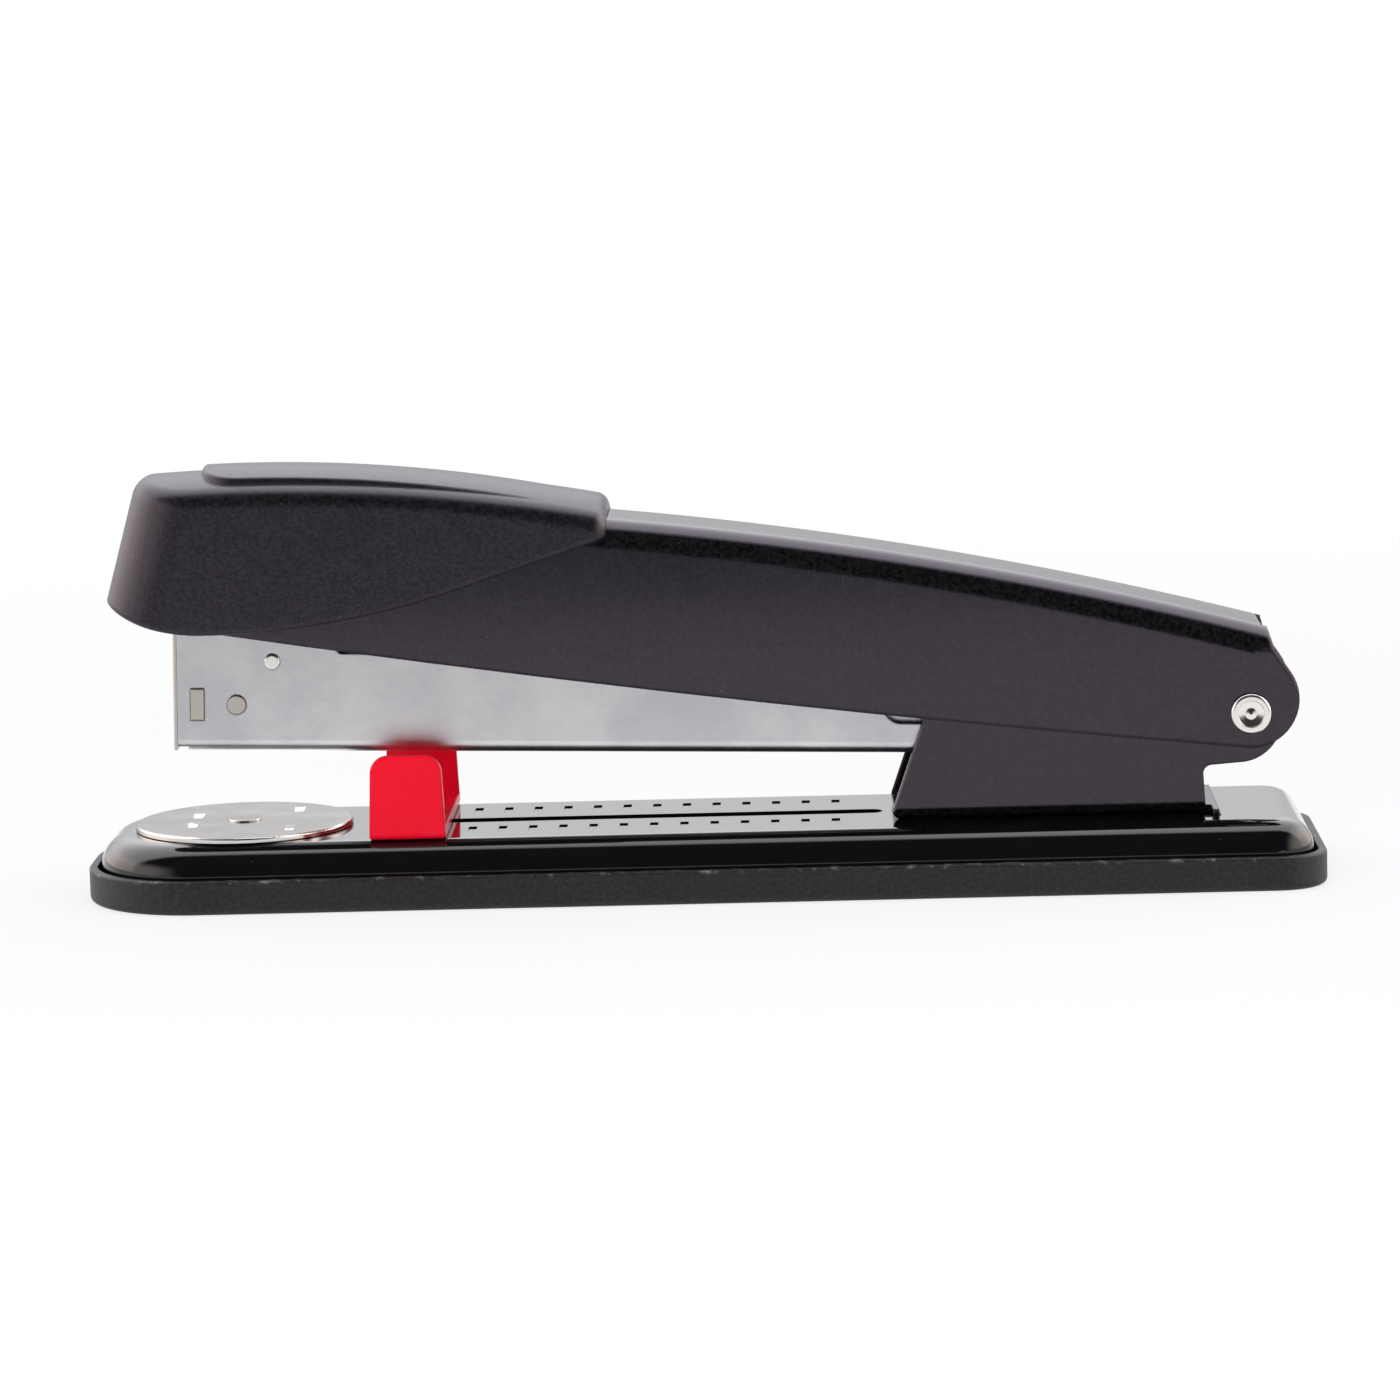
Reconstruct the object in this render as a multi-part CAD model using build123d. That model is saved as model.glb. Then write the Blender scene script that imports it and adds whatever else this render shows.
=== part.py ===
from build123d import *
from math import acos, atan2, cos, degrees, hypot, pi, radians, sin, sqrt, tan
import os

# A full-strip office stapler at rest, in millimetres.
# +Z is up, +X runs from the nose to the hinge, and the origin is on the table under the base's middle.

# The staple that it drives
STAPLE_CROWN = 12.7
STAPLE_WIRE = 0.5
STAPLE_LEG = 6.0

# Lengthwise layout and the angles of the head, in degrees
NOSE_REACH = 166.45
FRONT_MARGIN = 14.5
REAR_MARGIN = 11.1
HINGE_HEIGHT = 15.6
REST_TILT = 1.53
PRESS_TILT = 4.1
DRIVE_TILT = 2.9

# Plastic shoe under the base
SHOE_WIDTH = 44.0
SHOE_HEIGHT = 5.3
SHOE_WALL = 1.3
SHOE_FLOOR = 1.6
SHOE_FRONT_RADIUS = 18.0
SHOE_REAR_RADIUS = 8.0
SHOE_FOOT_EDGE = 1.0
SHOE_RIM_EDGE = 0.4

# Pressed steel base
PLATE_GAP = 0.7
PLATE_TOP = 10.2
PLATE_SHEET = 1.0
PLATE_SHOULDER = 4.6

# Paper stop, its slot and the two rows of detent pockets
STOP_BEHIND_NOSE = 36.45
STOP_LENGTH = 11.8
STOP_HALF_WIDTH = 17.4
STOP_WALL = 1.5
STOP_HEIGHT = 13.0
STOP_CORNER = 2.7
STOP_TAPER = 0.5
STOP_BEND = 1.0
STOP_EDGE = 0.4
STOP_LIFT = 0.1
SLOT_WIDTH = 3.6
SLOT_END_GAP = 1.0
NECK_LENGTH = 8.0
NECK_PLAY = 0.3
RETAINER_LENGTH = 11.0
RETAINER_WIDTH = 14.0
RETAINER_SHEET = 1.0
POCKET_PITCH = 4.7
POCKET_END_GAP = 7.0
POCKET_LENGTH = 1.3
POCKET_WIDTH = 5.5
POCKET_DEPTH = 0.22
POCKET_ROW = 8.6

# Anvil
ANVIL_RADIUS = 17.0
ANVIL_SHEET = 0.85
ANVIL_LIFT = 0.1
ANVIL_EDGE = 0.35
GROOVE_OFFSET = 7.75
GROOVE_WIDTH = 1.7
GROOVE_DEPTH = 0.5
GROOVE_ARC = 4.5
GROOVE_IN = 4.2
GROOVE_OUT = 8.6
POST_RADIUS = 2.2
POST_HEAD_RADIUS = 2.6
POST_HEAD = 0.25
POST_FIT = 0.05
BUTTON_RADIUS = 5.5
BUTTON_THICKNESS = 1.6
BUTTON_CLEARANCE = 1.0
BUTTON_HOLE_PLAY = 2.0
BOW_LENGTH = 24.0
BOW_WIDTH = 9.0
BOW_SHEET = 0.4
BOW_PLAY = 0.05

# Sheets and clearances across the head, from the staple outwards
CHANNEL_PLAY = 0.15
NOSE_SHEET = 0.6
CASE_SHEET = 0.6
CHEEK_PLAY = 0.25
BRACKET_SHEET = 1.0
COVER_PLAY = 0.3
COVER_SHEET = 1.0
CAP_FIT = 0.1
CAP_WALL = 1.8

# Bracket, with lengths ahead of the hinge
BRACKET_FRONT = 55.9
BRACKET_FRONT_TOP = 48.3
BRACKET_TOP = 5.9
BRACKET_REAR = 7.0
BRACKET_NECK_RISE = 7.4
BRACKET_NECK_LEAN = 0.4
BRACKET_LOBE_RADIUS = 6.8
BRACKET_LOBE_AHEAD = 1.9
BRACKET_LOBE_DROP = 1.0
BRACKET_CORNER = 1.3
BRACKET_FRONT_CORNER = 4.0
BRACKET_EDGE = 0.3
BRACKET_BEND = 1.8
TONGUE_REACH = 1.9
TONGUE_HALF_WIDTH = 11.5
TONGUE_DEPTH = 3.0
TONGUE_PLAY = 0.25
FRONT_TONGUE_AHEAD = 52.0
FRONT_TONGUE_HALF_WIDTH = 5.0

# Hinge rivet
PIN_RADIUS = 1.9
PIN_SEAT_PLAY = 0.02
PIN_RUNNING_PLAY = 0.07
PIN_HEAD_RADIUS = 3.15
PIN_HEAD = 0.8
PIN_HEAD_GAP = 0.1
PIN_HEAD_EDGE = 0.5
PIN_DISH_RADIUS = 2.05
PIN_DISH_DEPTH = 0.25
PIN_DISH_EDGE = 0.08
PIN_NUB_RADIUS = 0.9
PIN_NUB_HEIGHT = 0.3

# Magazine, in its own level frame with the hinge at its origin
CASE_DROP = 6.9
CASE_BEND = 1.9
CASE_LEDGE = 8.5
CASE_TOWER = 15.0
TOWER_LENGTH = 20.8
TOWER_SLANT = 4.3
CASE_NOTCH_FRONT = 59.3
CASE_NOTCH_REAR = 36.0
CASE_NOTCH_SLANT = 3.5
CASE_NOTCH_LEVEL = -2.2
CASE_NOTCH_CORNER = 3.0
CASE_CORNER = 2.0
EAR_RADIUS = 5.2
CASE_TAIL_GAP = 12.0
CASE_NOSE_CUT = 0.8
NOSE_SEAM = 0.05
NOSE_PLATE_TOP = 14.0
NOSE_PLATE_LIFT = 0.3
NOSE_EAR_LENGTH = 15.8
NOSE_EAR_TOP = 5.9
LUG_SETBACK = 2.75
LUG_LENGTH = 2.0
LUG_LOW = -1.8
LUG_HIGH = 2.95
LUG_PLAY = 0.15
LUG_PROUD = 0.25
BOSS_SETBACK = 9.85
BOSS_LEVEL = 0.55
BOSS_RADIUS = 1.4
BOSS_PROUD = 0.45
CROSS_PIN_SETBACK = 15.45
CROSS_PIN_LEVEL = 7.3
CROSS_PIN_RADIUS = 1.2
CROSS_PIN_PROUD = 0.5
CROSS_PIN_EDGE = 0.3
CROSS_PIN_FIT = 0.02

# Staple rail, rod, coil spring and pusher
RAIL_PLAY = 0.3
RAIL_SHEET = 0.7
RAIL_LEG_ROOM = 0.5
RAIL_BEND = 1.0
RAIL_TAIL = 24.0
RAIL_SLOT_WIDTH = 2.4
RAIL_SLOT_START = 3.0
RAIL_SLOT_TAIL = 44.0
ROD_RADIUS = 0.8
ROD_FIT = 0.02
ROD_HEAD_RADIUS = 1.5
ROD_HEAD = 0.7
COIL_RADIUS = 1.75
COIL_WIRE = 0.5
COIL_TURNS = 26
COIL_END_GAP = 0.1
PUSHER_GAP = 0.25
PUSHER_LENGTH = 13.0
PUSHER_SHEET = 0.45
PUSHER_PLAY = 0.3
PUSHER_TAB = 2.6
SLIDER_LENGTH = 10.0
SLIDER_SETBACK = 1.6
SLIDER_PLAY = 0.5
STEM_PLAY = 0.35

# Driver blade and its rivets
BLADE_SHEET = 0.7
BLADE_GAP = 0.45
BLADE_PLAY = 0.3
BLADE_OVERTRAVEL = 0.1
FLANGE_LENGTH = 13.0
FLANGE_GAP = 0.05
DRIVER_RIVET_SETBACK = 6.5
DRIVER_RIVET_SPACING = 6.0
DRIVER_RIVET_RADIUS = 1.3
DRIVER_RIVET_HEAD_RADIUS = 2.3
DRIVER_RIVET_HEAD = 0.8
RIVET_FIT = 0.02

# Cover, with heights above the hinge
COVER_NOSE_SETBACK = 3.45
COVER_TAIL = 2.9
COVER_NOSE_TOP = 35.8
COVER_TAIL_TOP = 12.75
COVER_CROWN = 5.6
COVER_NOSE_EDGE = 16.75
COVER_EDGE_SAG = 1.3
COVER_SHOULDER = 4.2
COVER_LOBE_RADIUS = 7.5
COVER_LOBE_RISE = 2.1
COVER_WAIST = 3.8
COVER_WAIST_RISE = 9.8
COVER_NOTCH = 0.9
COVER_NOTCH_HALF_WIDTH = 6.5

# Head cap, with lengths back from its front and heights above the hinge
CAP_OVERHANG = 4.75
CAP_FRONT_LEAN = 15.9
CAP_FRONT_TOP = 39.9
CAP_LENGTH = 72.8
CAP_REAR_TOP = 35.1
CAP_CROWN = 2.4
CAP_FRONT_RADIUS = 9.5
CAP_SHOULDER = 3.1
CAP_ARCH_RADIUS = 32.0
CAP_REAR_EDGE = 2.2
CAP_BEAD = 0.6
CAP_LOW_SETBACK = 10.2
CAP_LOW_LEVEL = 16.1
CAP_LIP_RADIUS = 28.0
CAP_SWEEP_RADIUS = 130.0
CAP_SWEEP_ANGLE = 18.0
PAD_SETBACK = 10.3
PAD_LENGTH = 52.9
PAD_RISE = 0.9
PAD_HALF_WIDTH = 9.2
PAD_CORNER = 6.0
PAD_CROWN = 1.5
PAD_EDGE = 0.35
NOSE_ROOM = 3.1
NOSE_ROOM_SIDE = 0.7
NOSE_ROOM_TOP = 29.0

# Leaf springs
LEAF_SHEET = 0.6
LEAF_HALF_WIDTH = 4.5
LEAF_BEND = 3.0
LEAF_PLAY = 0.2
LIFT_FOOT_AHEAD = 48.0
LIFT_FOOT_LENGTH = 10.0
LIFT_TIP_AHEAD = 20.0
LIFT_TIP_LENGTH = 3.0
RETURN_FOOT_AHEAD = 42.5
RETURN_FOOT_LENGTH = 11.5
RETURN_TIP_AHEAD = 12.5
RETURN_TIP_LENGTH = 2.5
LEAF_RIVET_RADIUS = 1.2
LEAF_RIVET_HEAD_RADIUS = 2.2
LEAF_RIVET_HEAD = 0.7
LEAF_RIVET_TAIL = 0.4

# Values that follow from the ones above
SHOE_LENGTH = NOSE_REACH * cos(radians(REST_TILT)) + FRONT_MARGIN + REAR_MARGIN
HINGE_X = SHOE_LENGTH / 2 - REAR_MARGIN
HINGE_Z = PLATE_TOP + HINGE_HEIGHT
CHANNEL_HALF = STAPLE_CROWN / 2 + CHANNEL_PLAY
NOSE_HALF = CHANNEL_HALF + NOSE_SHEET
CASE_HALF = NOSE_HALF + CASE_SHEET
CHEEK_HALF = CASE_HALF + CHEEK_PLAY
BRACKET_HALF = CHEEK_HALF + BRACKET_SHEET
COVER_INNER = BRACKET_HALF + COVER_PLAY
COVER_HALF = COVER_INNER + COVER_SHEET
CAP_HALF = COVER_HALF + CAP_FIT + CAP_WALL
NOSE_INNER = NOSE_REACH - NOSE_SHEET
BLADE_FRONT = NOSE_INNER - BLADE_GAP
BLADE_BACK = BLADE_FRONT - BLADE_SHEET
RAIL_FRONT = BLADE_BACK - BLADE_GAP
CASE_FLOOR_TOP = CASE_SHEET - CASE_DROP
RAIL_HALF = STAPLE_CROWN / 2 - STAPLE_WIRE - RAIL_PLAY
RAIL_TOP = CASE_FLOOR_TOP + STAPLE_LEG + RAIL_LEG_ROOM
ROD_LEVEL = (CASE_FLOOR_TOP + RAIL_TOP - RAIL_SHEET) / 2
STOP_X = HINGE_X - NOSE_REACH + STOP_BEHIND_NOSE
PLATE_UNDER = PLATE_TOP - PLATE_SHEET
BRACKET_FLOOR = PLATE_TOP + BRACKET_SHEET
SLOT_REAR_X = HINGE_X - BRACKET_FRONT - SLOT_END_GAP
POCKET_COUNT = int((SLOT_REAR_X - POCKET_END_GAP - STOP_X) / POCKET_PITCH) + 1
COVER_NOSE = NOSE_REACH - COVER_NOSE_SETBACK
CAP_FRONT = NOSE_REACH + CAP_OVERHANG
CAP_REAR = CAP_FRONT - CAP_LENGTH
CAP_LOW_POINT = CAP_FRONT - CAP_LOW_SETBACK
PAD_FRONT = CAP_FRONT - PAD_SETBACK
PAD_REAR = PAD_FRONT - PAD_LENGTH

# Frames of the head: the cover's axes stay level at rest, and the magazine's tilt with it.
COVER_FRAME = Pos(HINGE_X, 0, HINGE_Z)
MAGAZINE_FRAME = COVER_FRAME * Rot(0, REST_TILT, 0)


def block(x_low, x_high, y_low, y_high, z_low, z_high):
    """A box between two corners."""
    box = Box(x_high - x_low, y_high - y_low, z_high - z_low)
    return Pos((x_low + x_high) / 2, (y_low + y_high) / 2, (z_low + z_high) / 2) * box


def polygon(corners, radii):
    """A closed face through the corners, each rounded by its own radius."""
    return make_face(FilletPolyline(*corners, radius=radii, close=True))


def prism(face, half_width):
    """A side-view face (x, z) spread evenly to both sides of the middle plane."""
    return extrude(Plane.XZ * face, half_width, both=True)


def cross_rod(x, z, radius, half_length):
    """A round bar across the object, centred on the middle plane."""
    return Pos(x, 0, z) * Rot(90, 0, 0) * Cylinder(radius, 2 * half_length)


def upright(x, y, radius, z_low, z_high):
    """A round bar that stands upright."""
    return Pos(x, y, (z_low + z_high) / 2) * Cylinder(radius, z_high - z_low)


def bow(start, end, rise):
    """An arc from start to end whose middle lies rise to the right of the chord."""
    a, b = Vector(*start), Vector(*end)
    chord = b - a
    right = Vector(chord.Y, -chord.X).normalized()
    return ThreePointArc(a, (a + b) / 2 + right * rise, b)


def channel(half, height, sheet, bend, x_low, x_high):
    """A U-channel along x, open upwards, its floor's underside at z 0."""
    inner_bend = max(bend - sheet, 0)
    outer = polygon([(-half, height), (-half, 0), (half, 0), (half, height)], [0, bend, bend, 0])
    inner_half = half - sheet
    hollow = polygon(
        [(-inner_half, height), (-inner_half, sheet), (inner_half, sheet), (inner_half, height)],
        [0, inner_bend, inner_bend, 0],
    )
    return extrude(Plane.YZ.offset(x_low) * (outer - hollow), x_high - x_low)


def base_outline(inset):
    """The base's plan, drawn in from the shoe's outer edge by inset."""
    plan = Rectangle(SHOE_LENGTH - 2 * inset, SHOE_WIDTH - 2 * inset)
    plan = fillet(plan.vertices().group_by(Axis.X)[0], SHOE_FRONT_RADIUS - inset)
    return fillet(plan.vertices().group_by(Axis.X)[-1], SHOE_REAR_RADIUS - inset)


def leaf(path, half_width):
    """A strip of spring sheet that follows a side-view path."""
    return prism(trace(path, LEAF_SHEET), half_width)


def crown_circle(front, rear, rise):
    """Centre x, centre z and radius of the arc that crowns the line from front to rear by rise."""
    run, drop = rear[0] - front[0], front[1] - rear[1]
    chord = sqrt(run**2 + drop**2)
    radius = (chord**2 / 4 + rise**2) / (2 * rise)
    sunk = (radius - rise) / chord
    centre_x = (front[0] + rear[0]) / 2 - sunk * drop
    centre_z = (front[1] + rear[1]) / 2 - sunk * run
    return centre_x, centre_z, radius


def crown_level(front, rear, rise, x):
    """Height at x of the arc that crowns the line from front to rear by rise."""
    centre_x, centre_z, radius = crown_circle(front, rear, rise)
    return centre_z + sqrt(radius**2 - (x - centre_x) ** 2)


def arched_room(front, rear, rise, half, arch_radius):
    """The room under a top that is crowned lengthwise by rise and arched across by its own radius."""
    centre_x, centre_z, radius = crown_circle(front, rear, rise)
    edge = radius - arch_radius + sqrt(arch_radius**2 - half**2)
    arch = ThreePointArc((-half, edge), (0, radius), (half, edge))
    foot = Polyline((half, edge), (half, radius / 2), (-half, radius / 2), (-half, edge))
    section = Plane.YZ * make_face(arch.edges() + foot.edges())
    return Pos(centre_x, 0, centre_z) * revolve(section, Axis.Y)


def crowned_form(front, rear, rise, half, shoulder, foot):
    """A filled form under a crowned top line, its long upper edges rounded; foot closes it below."""
    crown = bow(rear, front, rise)
    form = prism(make_face(crown.edges() + Polyline(front, *foot, rear).edges()), half)
    return fillet(form.edges().filter_by(GeomType.CIRCLE), shoulder)


def cover_form(half, grow):
    """The form that the cover's crowned top encloses, moved out by grow, in the cover's frame."""
    nose = (-COVER_NOSE, COVER_NOSE_TOP + grow)
    tail = (COVER_WAIST, COVER_TAIL_TOP + grow)
    low = -2 * COVER_LOBE_RADIUS
    foot = ((-COVER_NOSE, low), (COVER_WAIST, low))
    return crowned_form(nose, tail, COVER_CROWN, half, COVER_SHOULDER + grow, foot)


def cover_level(x, grow):
    """Height of the cover's top line above the hinge, moved out by grow."""
    nose = (-COVER_NOSE, COVER_NOSE_TOP + grow)
    tail = (COVER_WAIST, COVER_TAIL_TOP + grow)
    return crown_level(nose, tail, COVER_CROWN, x)


# Plastic shoe: a tray with a finger hole below the anvil's button
STRIKE_TILT = radians(REST_TILT - PRESS_TILT)
STRIKE_X = HINGE_X - (BLADE_FRONT + BLADE_BACK) / 2 * cos(STRIKE_TILT) - CASE_DROP * sin(STRIKE_TILT)
ANVIL_X = STRIKE_X + GROOVE_OFFSET
base_shoe = extrude(base_outline(0), SHOE_HEIGHT)
base_shoe = fillet(base_shoe.faces().sort_by(Axis.Z)[0].edges(), SHOE_FOOT_EDGE)
base_shoe -= Pos(0, 0, SHOE_FLOOR) * extrude(base_outline(SHOE_WALL), SHOE_HEIGHT)
base_shoe = fillet(base_shoe.faces().sort_by(Axis.Z)[-1].outer_wire().edges(), SHOE_RIM_EDGE)
base_shoe -= upright(ANVIL_X, 0, BUTTON_RADIUS + BUTTON_HOLE_PLAY, -SHOE_FLOOR, 2 * SHOE_FLOOR)


def plate_form(inset, shoulder, top):
    """A dish turned over: the plan drawn in by inset, with a rounded shoulder all round its top."""
    form = Pos(0, 0, SHOE_FLOOR) * extrude(base_outline(inset), top - SHOE_FLOOR)
    return fillet(form.faces().sort_by(Axis.Z)[-1].edges(), shoulder)


# Steel base: a pressed shell with the stop's slot, two rows of detent pockets and the bracket's slots
PLATE_INSET = SHOE_WALL + PLATE_GAP
base_plate = plate_form(PLATE_INSET, PLATE_SHOULDER, PLATE_TOP)
base_plate -= plate_form(PLATE_INSET + PLATE_SHEET, PLATE_SHOULDER - PLATE_SHEET, PLATE_UNDER)
SLOT_FRONT_X = STOP_X - NECK_LENGTH / 2 - NECK_PLAY - SLOT_WIDTH / 2
slot_plan = SlotOverall(SLOT_REAR_X - SLOT_FRONT_X, SLOT_WIDTH)
base_plate -= extrude(Pos((SLOT_FRONT_X + SLOT_REAR_X) / 2, 0, PLATE_UNDER) * slot_plan, PLATE_SHEET)
for number in range(POCKET_COUNT):
    pocket_x = STOP_X + POCKET_PITCH * number
    for side in (-1, 1):
        pocket = Box(POCKET_LENGTH, POCKET_WIDTH, 2 * POCKET_DEPTH)
        base_plate -= Pos(pocket_x, side * POCKET_ROW, PLATE_TOP) * pocket
base_plate -= upright(ANVIL_X, 0, POST_RADIUS + POST_FIT, PLATE_UNDER, PLATE_TOP)

# Bracket: a folded channel cut to the cheeks' outline, with two tongues down through the steel base
cheek = polygon(
    [
        (-BRACKET_FRONT, -HINGE_HEIGHT),
        (-BRACKET_REAR, -HINGE_HEIGHT),
        (-BRACKET_REAR - BRACKET_NECK_LEAN, BRACKET_NECK_RISE - HINGE_HEIGHT),
        (-BRACKET_LOBE_AHEAD, -BRACKET_LOBE_DROP - BRACKET_LOBE_RADIUS),
        (-BRACKET_LOBE_AHEAD, BRACKET_LOBE_RADIUS - BRACKET_LOBE_DROP),
        (-BRACKET_FRONT_TOP, BRACKET_TOP),
    ],
    [BRACKET_CORNER, BRACKET_CORNER, BRACKET_CORNER, 0, 0, BRACKET_FRONT_CORNER],
)
cheek += Pos(-BRACKET_LOBE_AHEAD, -BRACKET_LOBE_DROP) * Circle(BRACKET_LOBE_RADIUS)
BRACKET_HEIGHT = HINGE_HEIGHT + BRACKET_TOP + BRACKET_LOBE_RADIUS
bracket = Pos(0, 0, -HINGE_HEIGHT) * channel(
    BRACKET_HALF, BRACKET_HEIGHT, BRACKET_SHEET, BRACKET_BEND, -BRACKET_FRONT, BRACKET_LOBE_RADIUS
)
bracket &= prism(cheek, BRACKET_HALF)
slant_run = BRACKET_FRONT - BRACKET_FRONT_TOP
slant_rise = HINGE_HEIGHT + BRACKET_TOP
slant_turn = Rot(0, -degrees(atan2(slant_rise, slant_run)), 0) * Rot(45, 0, 0)
edge_bar = Box(hypot(slant_run, slant_rise), sqrt(2) * BRACKET_EDGE, sqrt(2) * BRACKET_EDGE)
for side in (-1, 1):
    slant_middle = Pos(slant_run / 2 - BRACKET_FRONT, side * BRACKET_HALF, slant_rise / 2 - HINGE_HEIGHT)
    bracket -= slant_middle * slant_turn * edge_bar
bracket = COVER_FRAME * bracket
TONGUE_X = HINGE_X - BRACKET_REAR + TONGUE_REACH
FRONT_TONGUE_X = HINGE_X - FRONT_TONGUE_AHEAD
tongues = [(TONGUE_X, TONGUE_HALF_WIDTH), (FRONT_TONGUE_X, FRONT_TONGUE_HALF_WIDTH)]
for tongue_x, tongue_half in tongues:
    back = tongue_x - BRACKET_SHEET
    bracket += block(back, tongue_x, -tongue_half, tongue_half, PLATE_TOP - TONGUE_DEPTH, BRACKET_FLOOR)
    room = tongue_half + TONGUE_PLAY
    base_plate -= block(back - TONGUE_PLAY, tongue_x + TONGUE_PLAY, -room, room, PLATE_UNDER, PLATE_TOP)
floor_half = BRACKET_HALF - BRACKET_BEND
floor_back = TONGUE_X - BRACKET_SHEET
floor_front = HINGE_X - BRACKET_REAR - BRACKET_CORNER
bracket += block(floor_front, floor_back, -floor_half, floor_half, PLATE_TOP, BRACKET_FLOOR)
bracket -= cross_rod(HINGE_X, HINGE_Z, PIN_RADIUS + PIN_SEAT_PLAY, BRACKET_HALF)

# Hinge rivet: one pin with a dished head on each side, and a blunt cone left in the dish
PIN_HALF = COVER_HALF + PIN_HEAD_GAP
dish_level = PIN_HEAD - PIN_DISH_DEPTH
pin_profile = polygon(
    [
        (0, 0),
        (PIN_HEAD_RADIUS, 0),
        (PIN_HEAD_RADIUS, PIN_HEAD),
        (PIN_DISH_RADIUS, PIN_HEAD),
        (PIN_DISH_RADIUS, dish_level),
        (PIN_NUB_RADIUS, dish_level - PIN_NUB_HEIGHT),
        (0, dish_level),
    ],
    [0, 0, PIN_HEAD_EDGE, PIN_DISH_EDGE, PIN_DISH_EDGE, PIN_DISH_EDGE, 0],
)
pin_head = Pos(0, PIN_HALF, 0) * revolve(pin_profile, Axis.Y)
hinge_pin = COVER_FRAME * (cross_rod(0, 0, PIN_RADIUS, PIN_HALF) + pin_head + mirror(pin_head, Plane.XZ))

# Anvil: a round plate with two pairs of clinching grooves, on a post with a push button
ANVIL_LOW = PLATE_TOP + ANVIL_LIFT
ANVIL_TOP = ANVIL_LOW + ANVIL_SHEET
anvil_disc = upright(0, 0, ANVIL_RADIUS, ANVIL_LOW, ANVIL_TOP)
anvil_disc = fillet(anvil_disc.edges().group_by(Axis.Z)[-1], ANVIL_EDGE)
for side in (-1, 1):
    for groove_x, groove_y in ((-GROOVE_OFFSET, GROOVE_IN), (GROOVE_OFFSET, GROOVE_OUT)):
        cutter = Rot(0, 90, 0) * Cylinder(GROOVE_ARC, GROOVE_WIDTH)
        anvil_disc -= Pos(groove_x, side * groove_y, ANVIL_TOP + GROOVE_ARC - GROOVE_DEPTH) * cutter
anvil_disc -= upright(0, 0, POST_RADIUS, ANVIL_LOW, ANVIL_TOP)
anvil_disc = Pos(ANVIL_X, 0, 0) * anvil_disc
BUTTON_LOW = SHOE_FLOOR + BUTTON_CLEARANCE
BUTTON_TOP = BUTTON_LOW + BUTTON_THICKNESS
post_head = upright(0, 0, POST_HEAD_RADIUS, ANVIL_TOP, ANVIL_TOP + POST_HEAD)
post_head = fillet(post_head.edges().group_by(Axis.Z)[-1], POST_HEAD / 2)
anvil_post = Pos(ANVIL_X, 0, 0) * (upright(0, 0, POST_RADIUS, BUTTON_LOW, ANVIL_TOP) + post_head)
anvil_button = upright(ANVIL_X, 0, BUTTON_RADIUS, BUTTON_LOW, BUTTON_TOP)
anvil_button = fillet(anvil_button.edges().group_by(Axis.Z)[0], BUTTON_THICKNESS / 3)
anvil_button -= upright(ANVIL_X, 0, POST_RADIUS, BUTTON_LOW, BUTTON_TOP)

# Bowed leaf spring between the steel base and the anvil's button
BOW_HIGH = PLATE_UNDER - BOW_PLAY
BOW_DEPTH = BOW_HIGH - BUTTON_TOP - BOW_PLAY - BOW_SHEET
bow_left = (-BOW_LENGTH / 2, BOW_HIGH)
bow_right = (BOW_LENGTH / 2, BOW_HIGH)
bow_upper = bow(bow_left, bow_right, BOW_DEPTH)
bow_lower = Pos(0, -BOW_SHEET) * bow_upper
bow_ends = [Line(bow_lower @ 0, bow_upper @ 0), Line(bow_lower @ 1, bow_upper @ 1)]
bow_face = make_face(bow_upper.edges() + bow_lower.edges() + [end.edge() for end in bow_ends])
anvil_spring = Pos(ANVIL_X, 0, 0) * prism(bow_face, BOW_WIDTH / 2)
anvil_spring -= upright(ANVIL_X, 0, POST_RADIUS + 4 * POST_FIT, SHOE_FLOOR, PLATE_TOP)

# Paper stop: a U with rounded, slightly tapered walls, and a neck through the slot
STOP_LOW = PLATE_TOP + STOP_LIFT
stop_end = STOP_LENGTH / 2
stop_body = channel(STOP_HALF_WIDTH, STOP_HEIGHT, STOP_WALL, STOP_BEND, -stop_end, stop_end)
stop_side = polygon(
    [
        (-stop_end, 0),
        (stop_end, 0),
        (stop_end - STOP_TAPER, STOP_HEIGHT),
        (STOP_TAPER - stop_end, STOP_HEIGHT),
    ],
    [0, 0, STOP_CORNER, STOP_CORNER],
)
RETAINER_TOP = PLATE_UNDER - NECK_PLAY
RETAINER_LOW = RETAINER_TOP - RETAINER_SHEET
NECK_HALF = SLOT_WIDTH / 2 - NECK_PLAY
neck = block(-NECK_LENGTH / 2, NECK_LENGTH / 2, -NECK_HALF, NECK_HALF, RETAINER_LOW, STOP_LOW)
stop_body &= prism(stop_side, STOP_HALF_WIDTH)
stop_walls = stop_body.faces().filter_by(Axis.Y)
stop_outer = stop_walls.sort_by(Axis.Y)[0].edges() + stop_walls.sort_by(Axis.Y)[-1].edges()
stop_body = fillet(stop_outer - stop_outer.group_by(Axis.Z)[0], STOP_EDGE)
paper_stop = Pos(0, 0, STOP_LOW) * stop_body + neck
paper_stop = Pos(STOP_X, 0, 0) * paper_stop
stop_retainer = Box(RETAINER_LENGTH, RETAINER_WIDTH, RETAINER_SHEET)
stop_retainer = fillet(stop_retainer.edges().filter_by(Axis.Z), RETAINER_SHEET)
stop_retainer = Pos(0, 0, RETAINER_LOW + RETAINER_SHEET / 2) * stop_retainer - neck
stop_retainer = Pos(STOP_X, 0, 0) * stop_retainer

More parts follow.
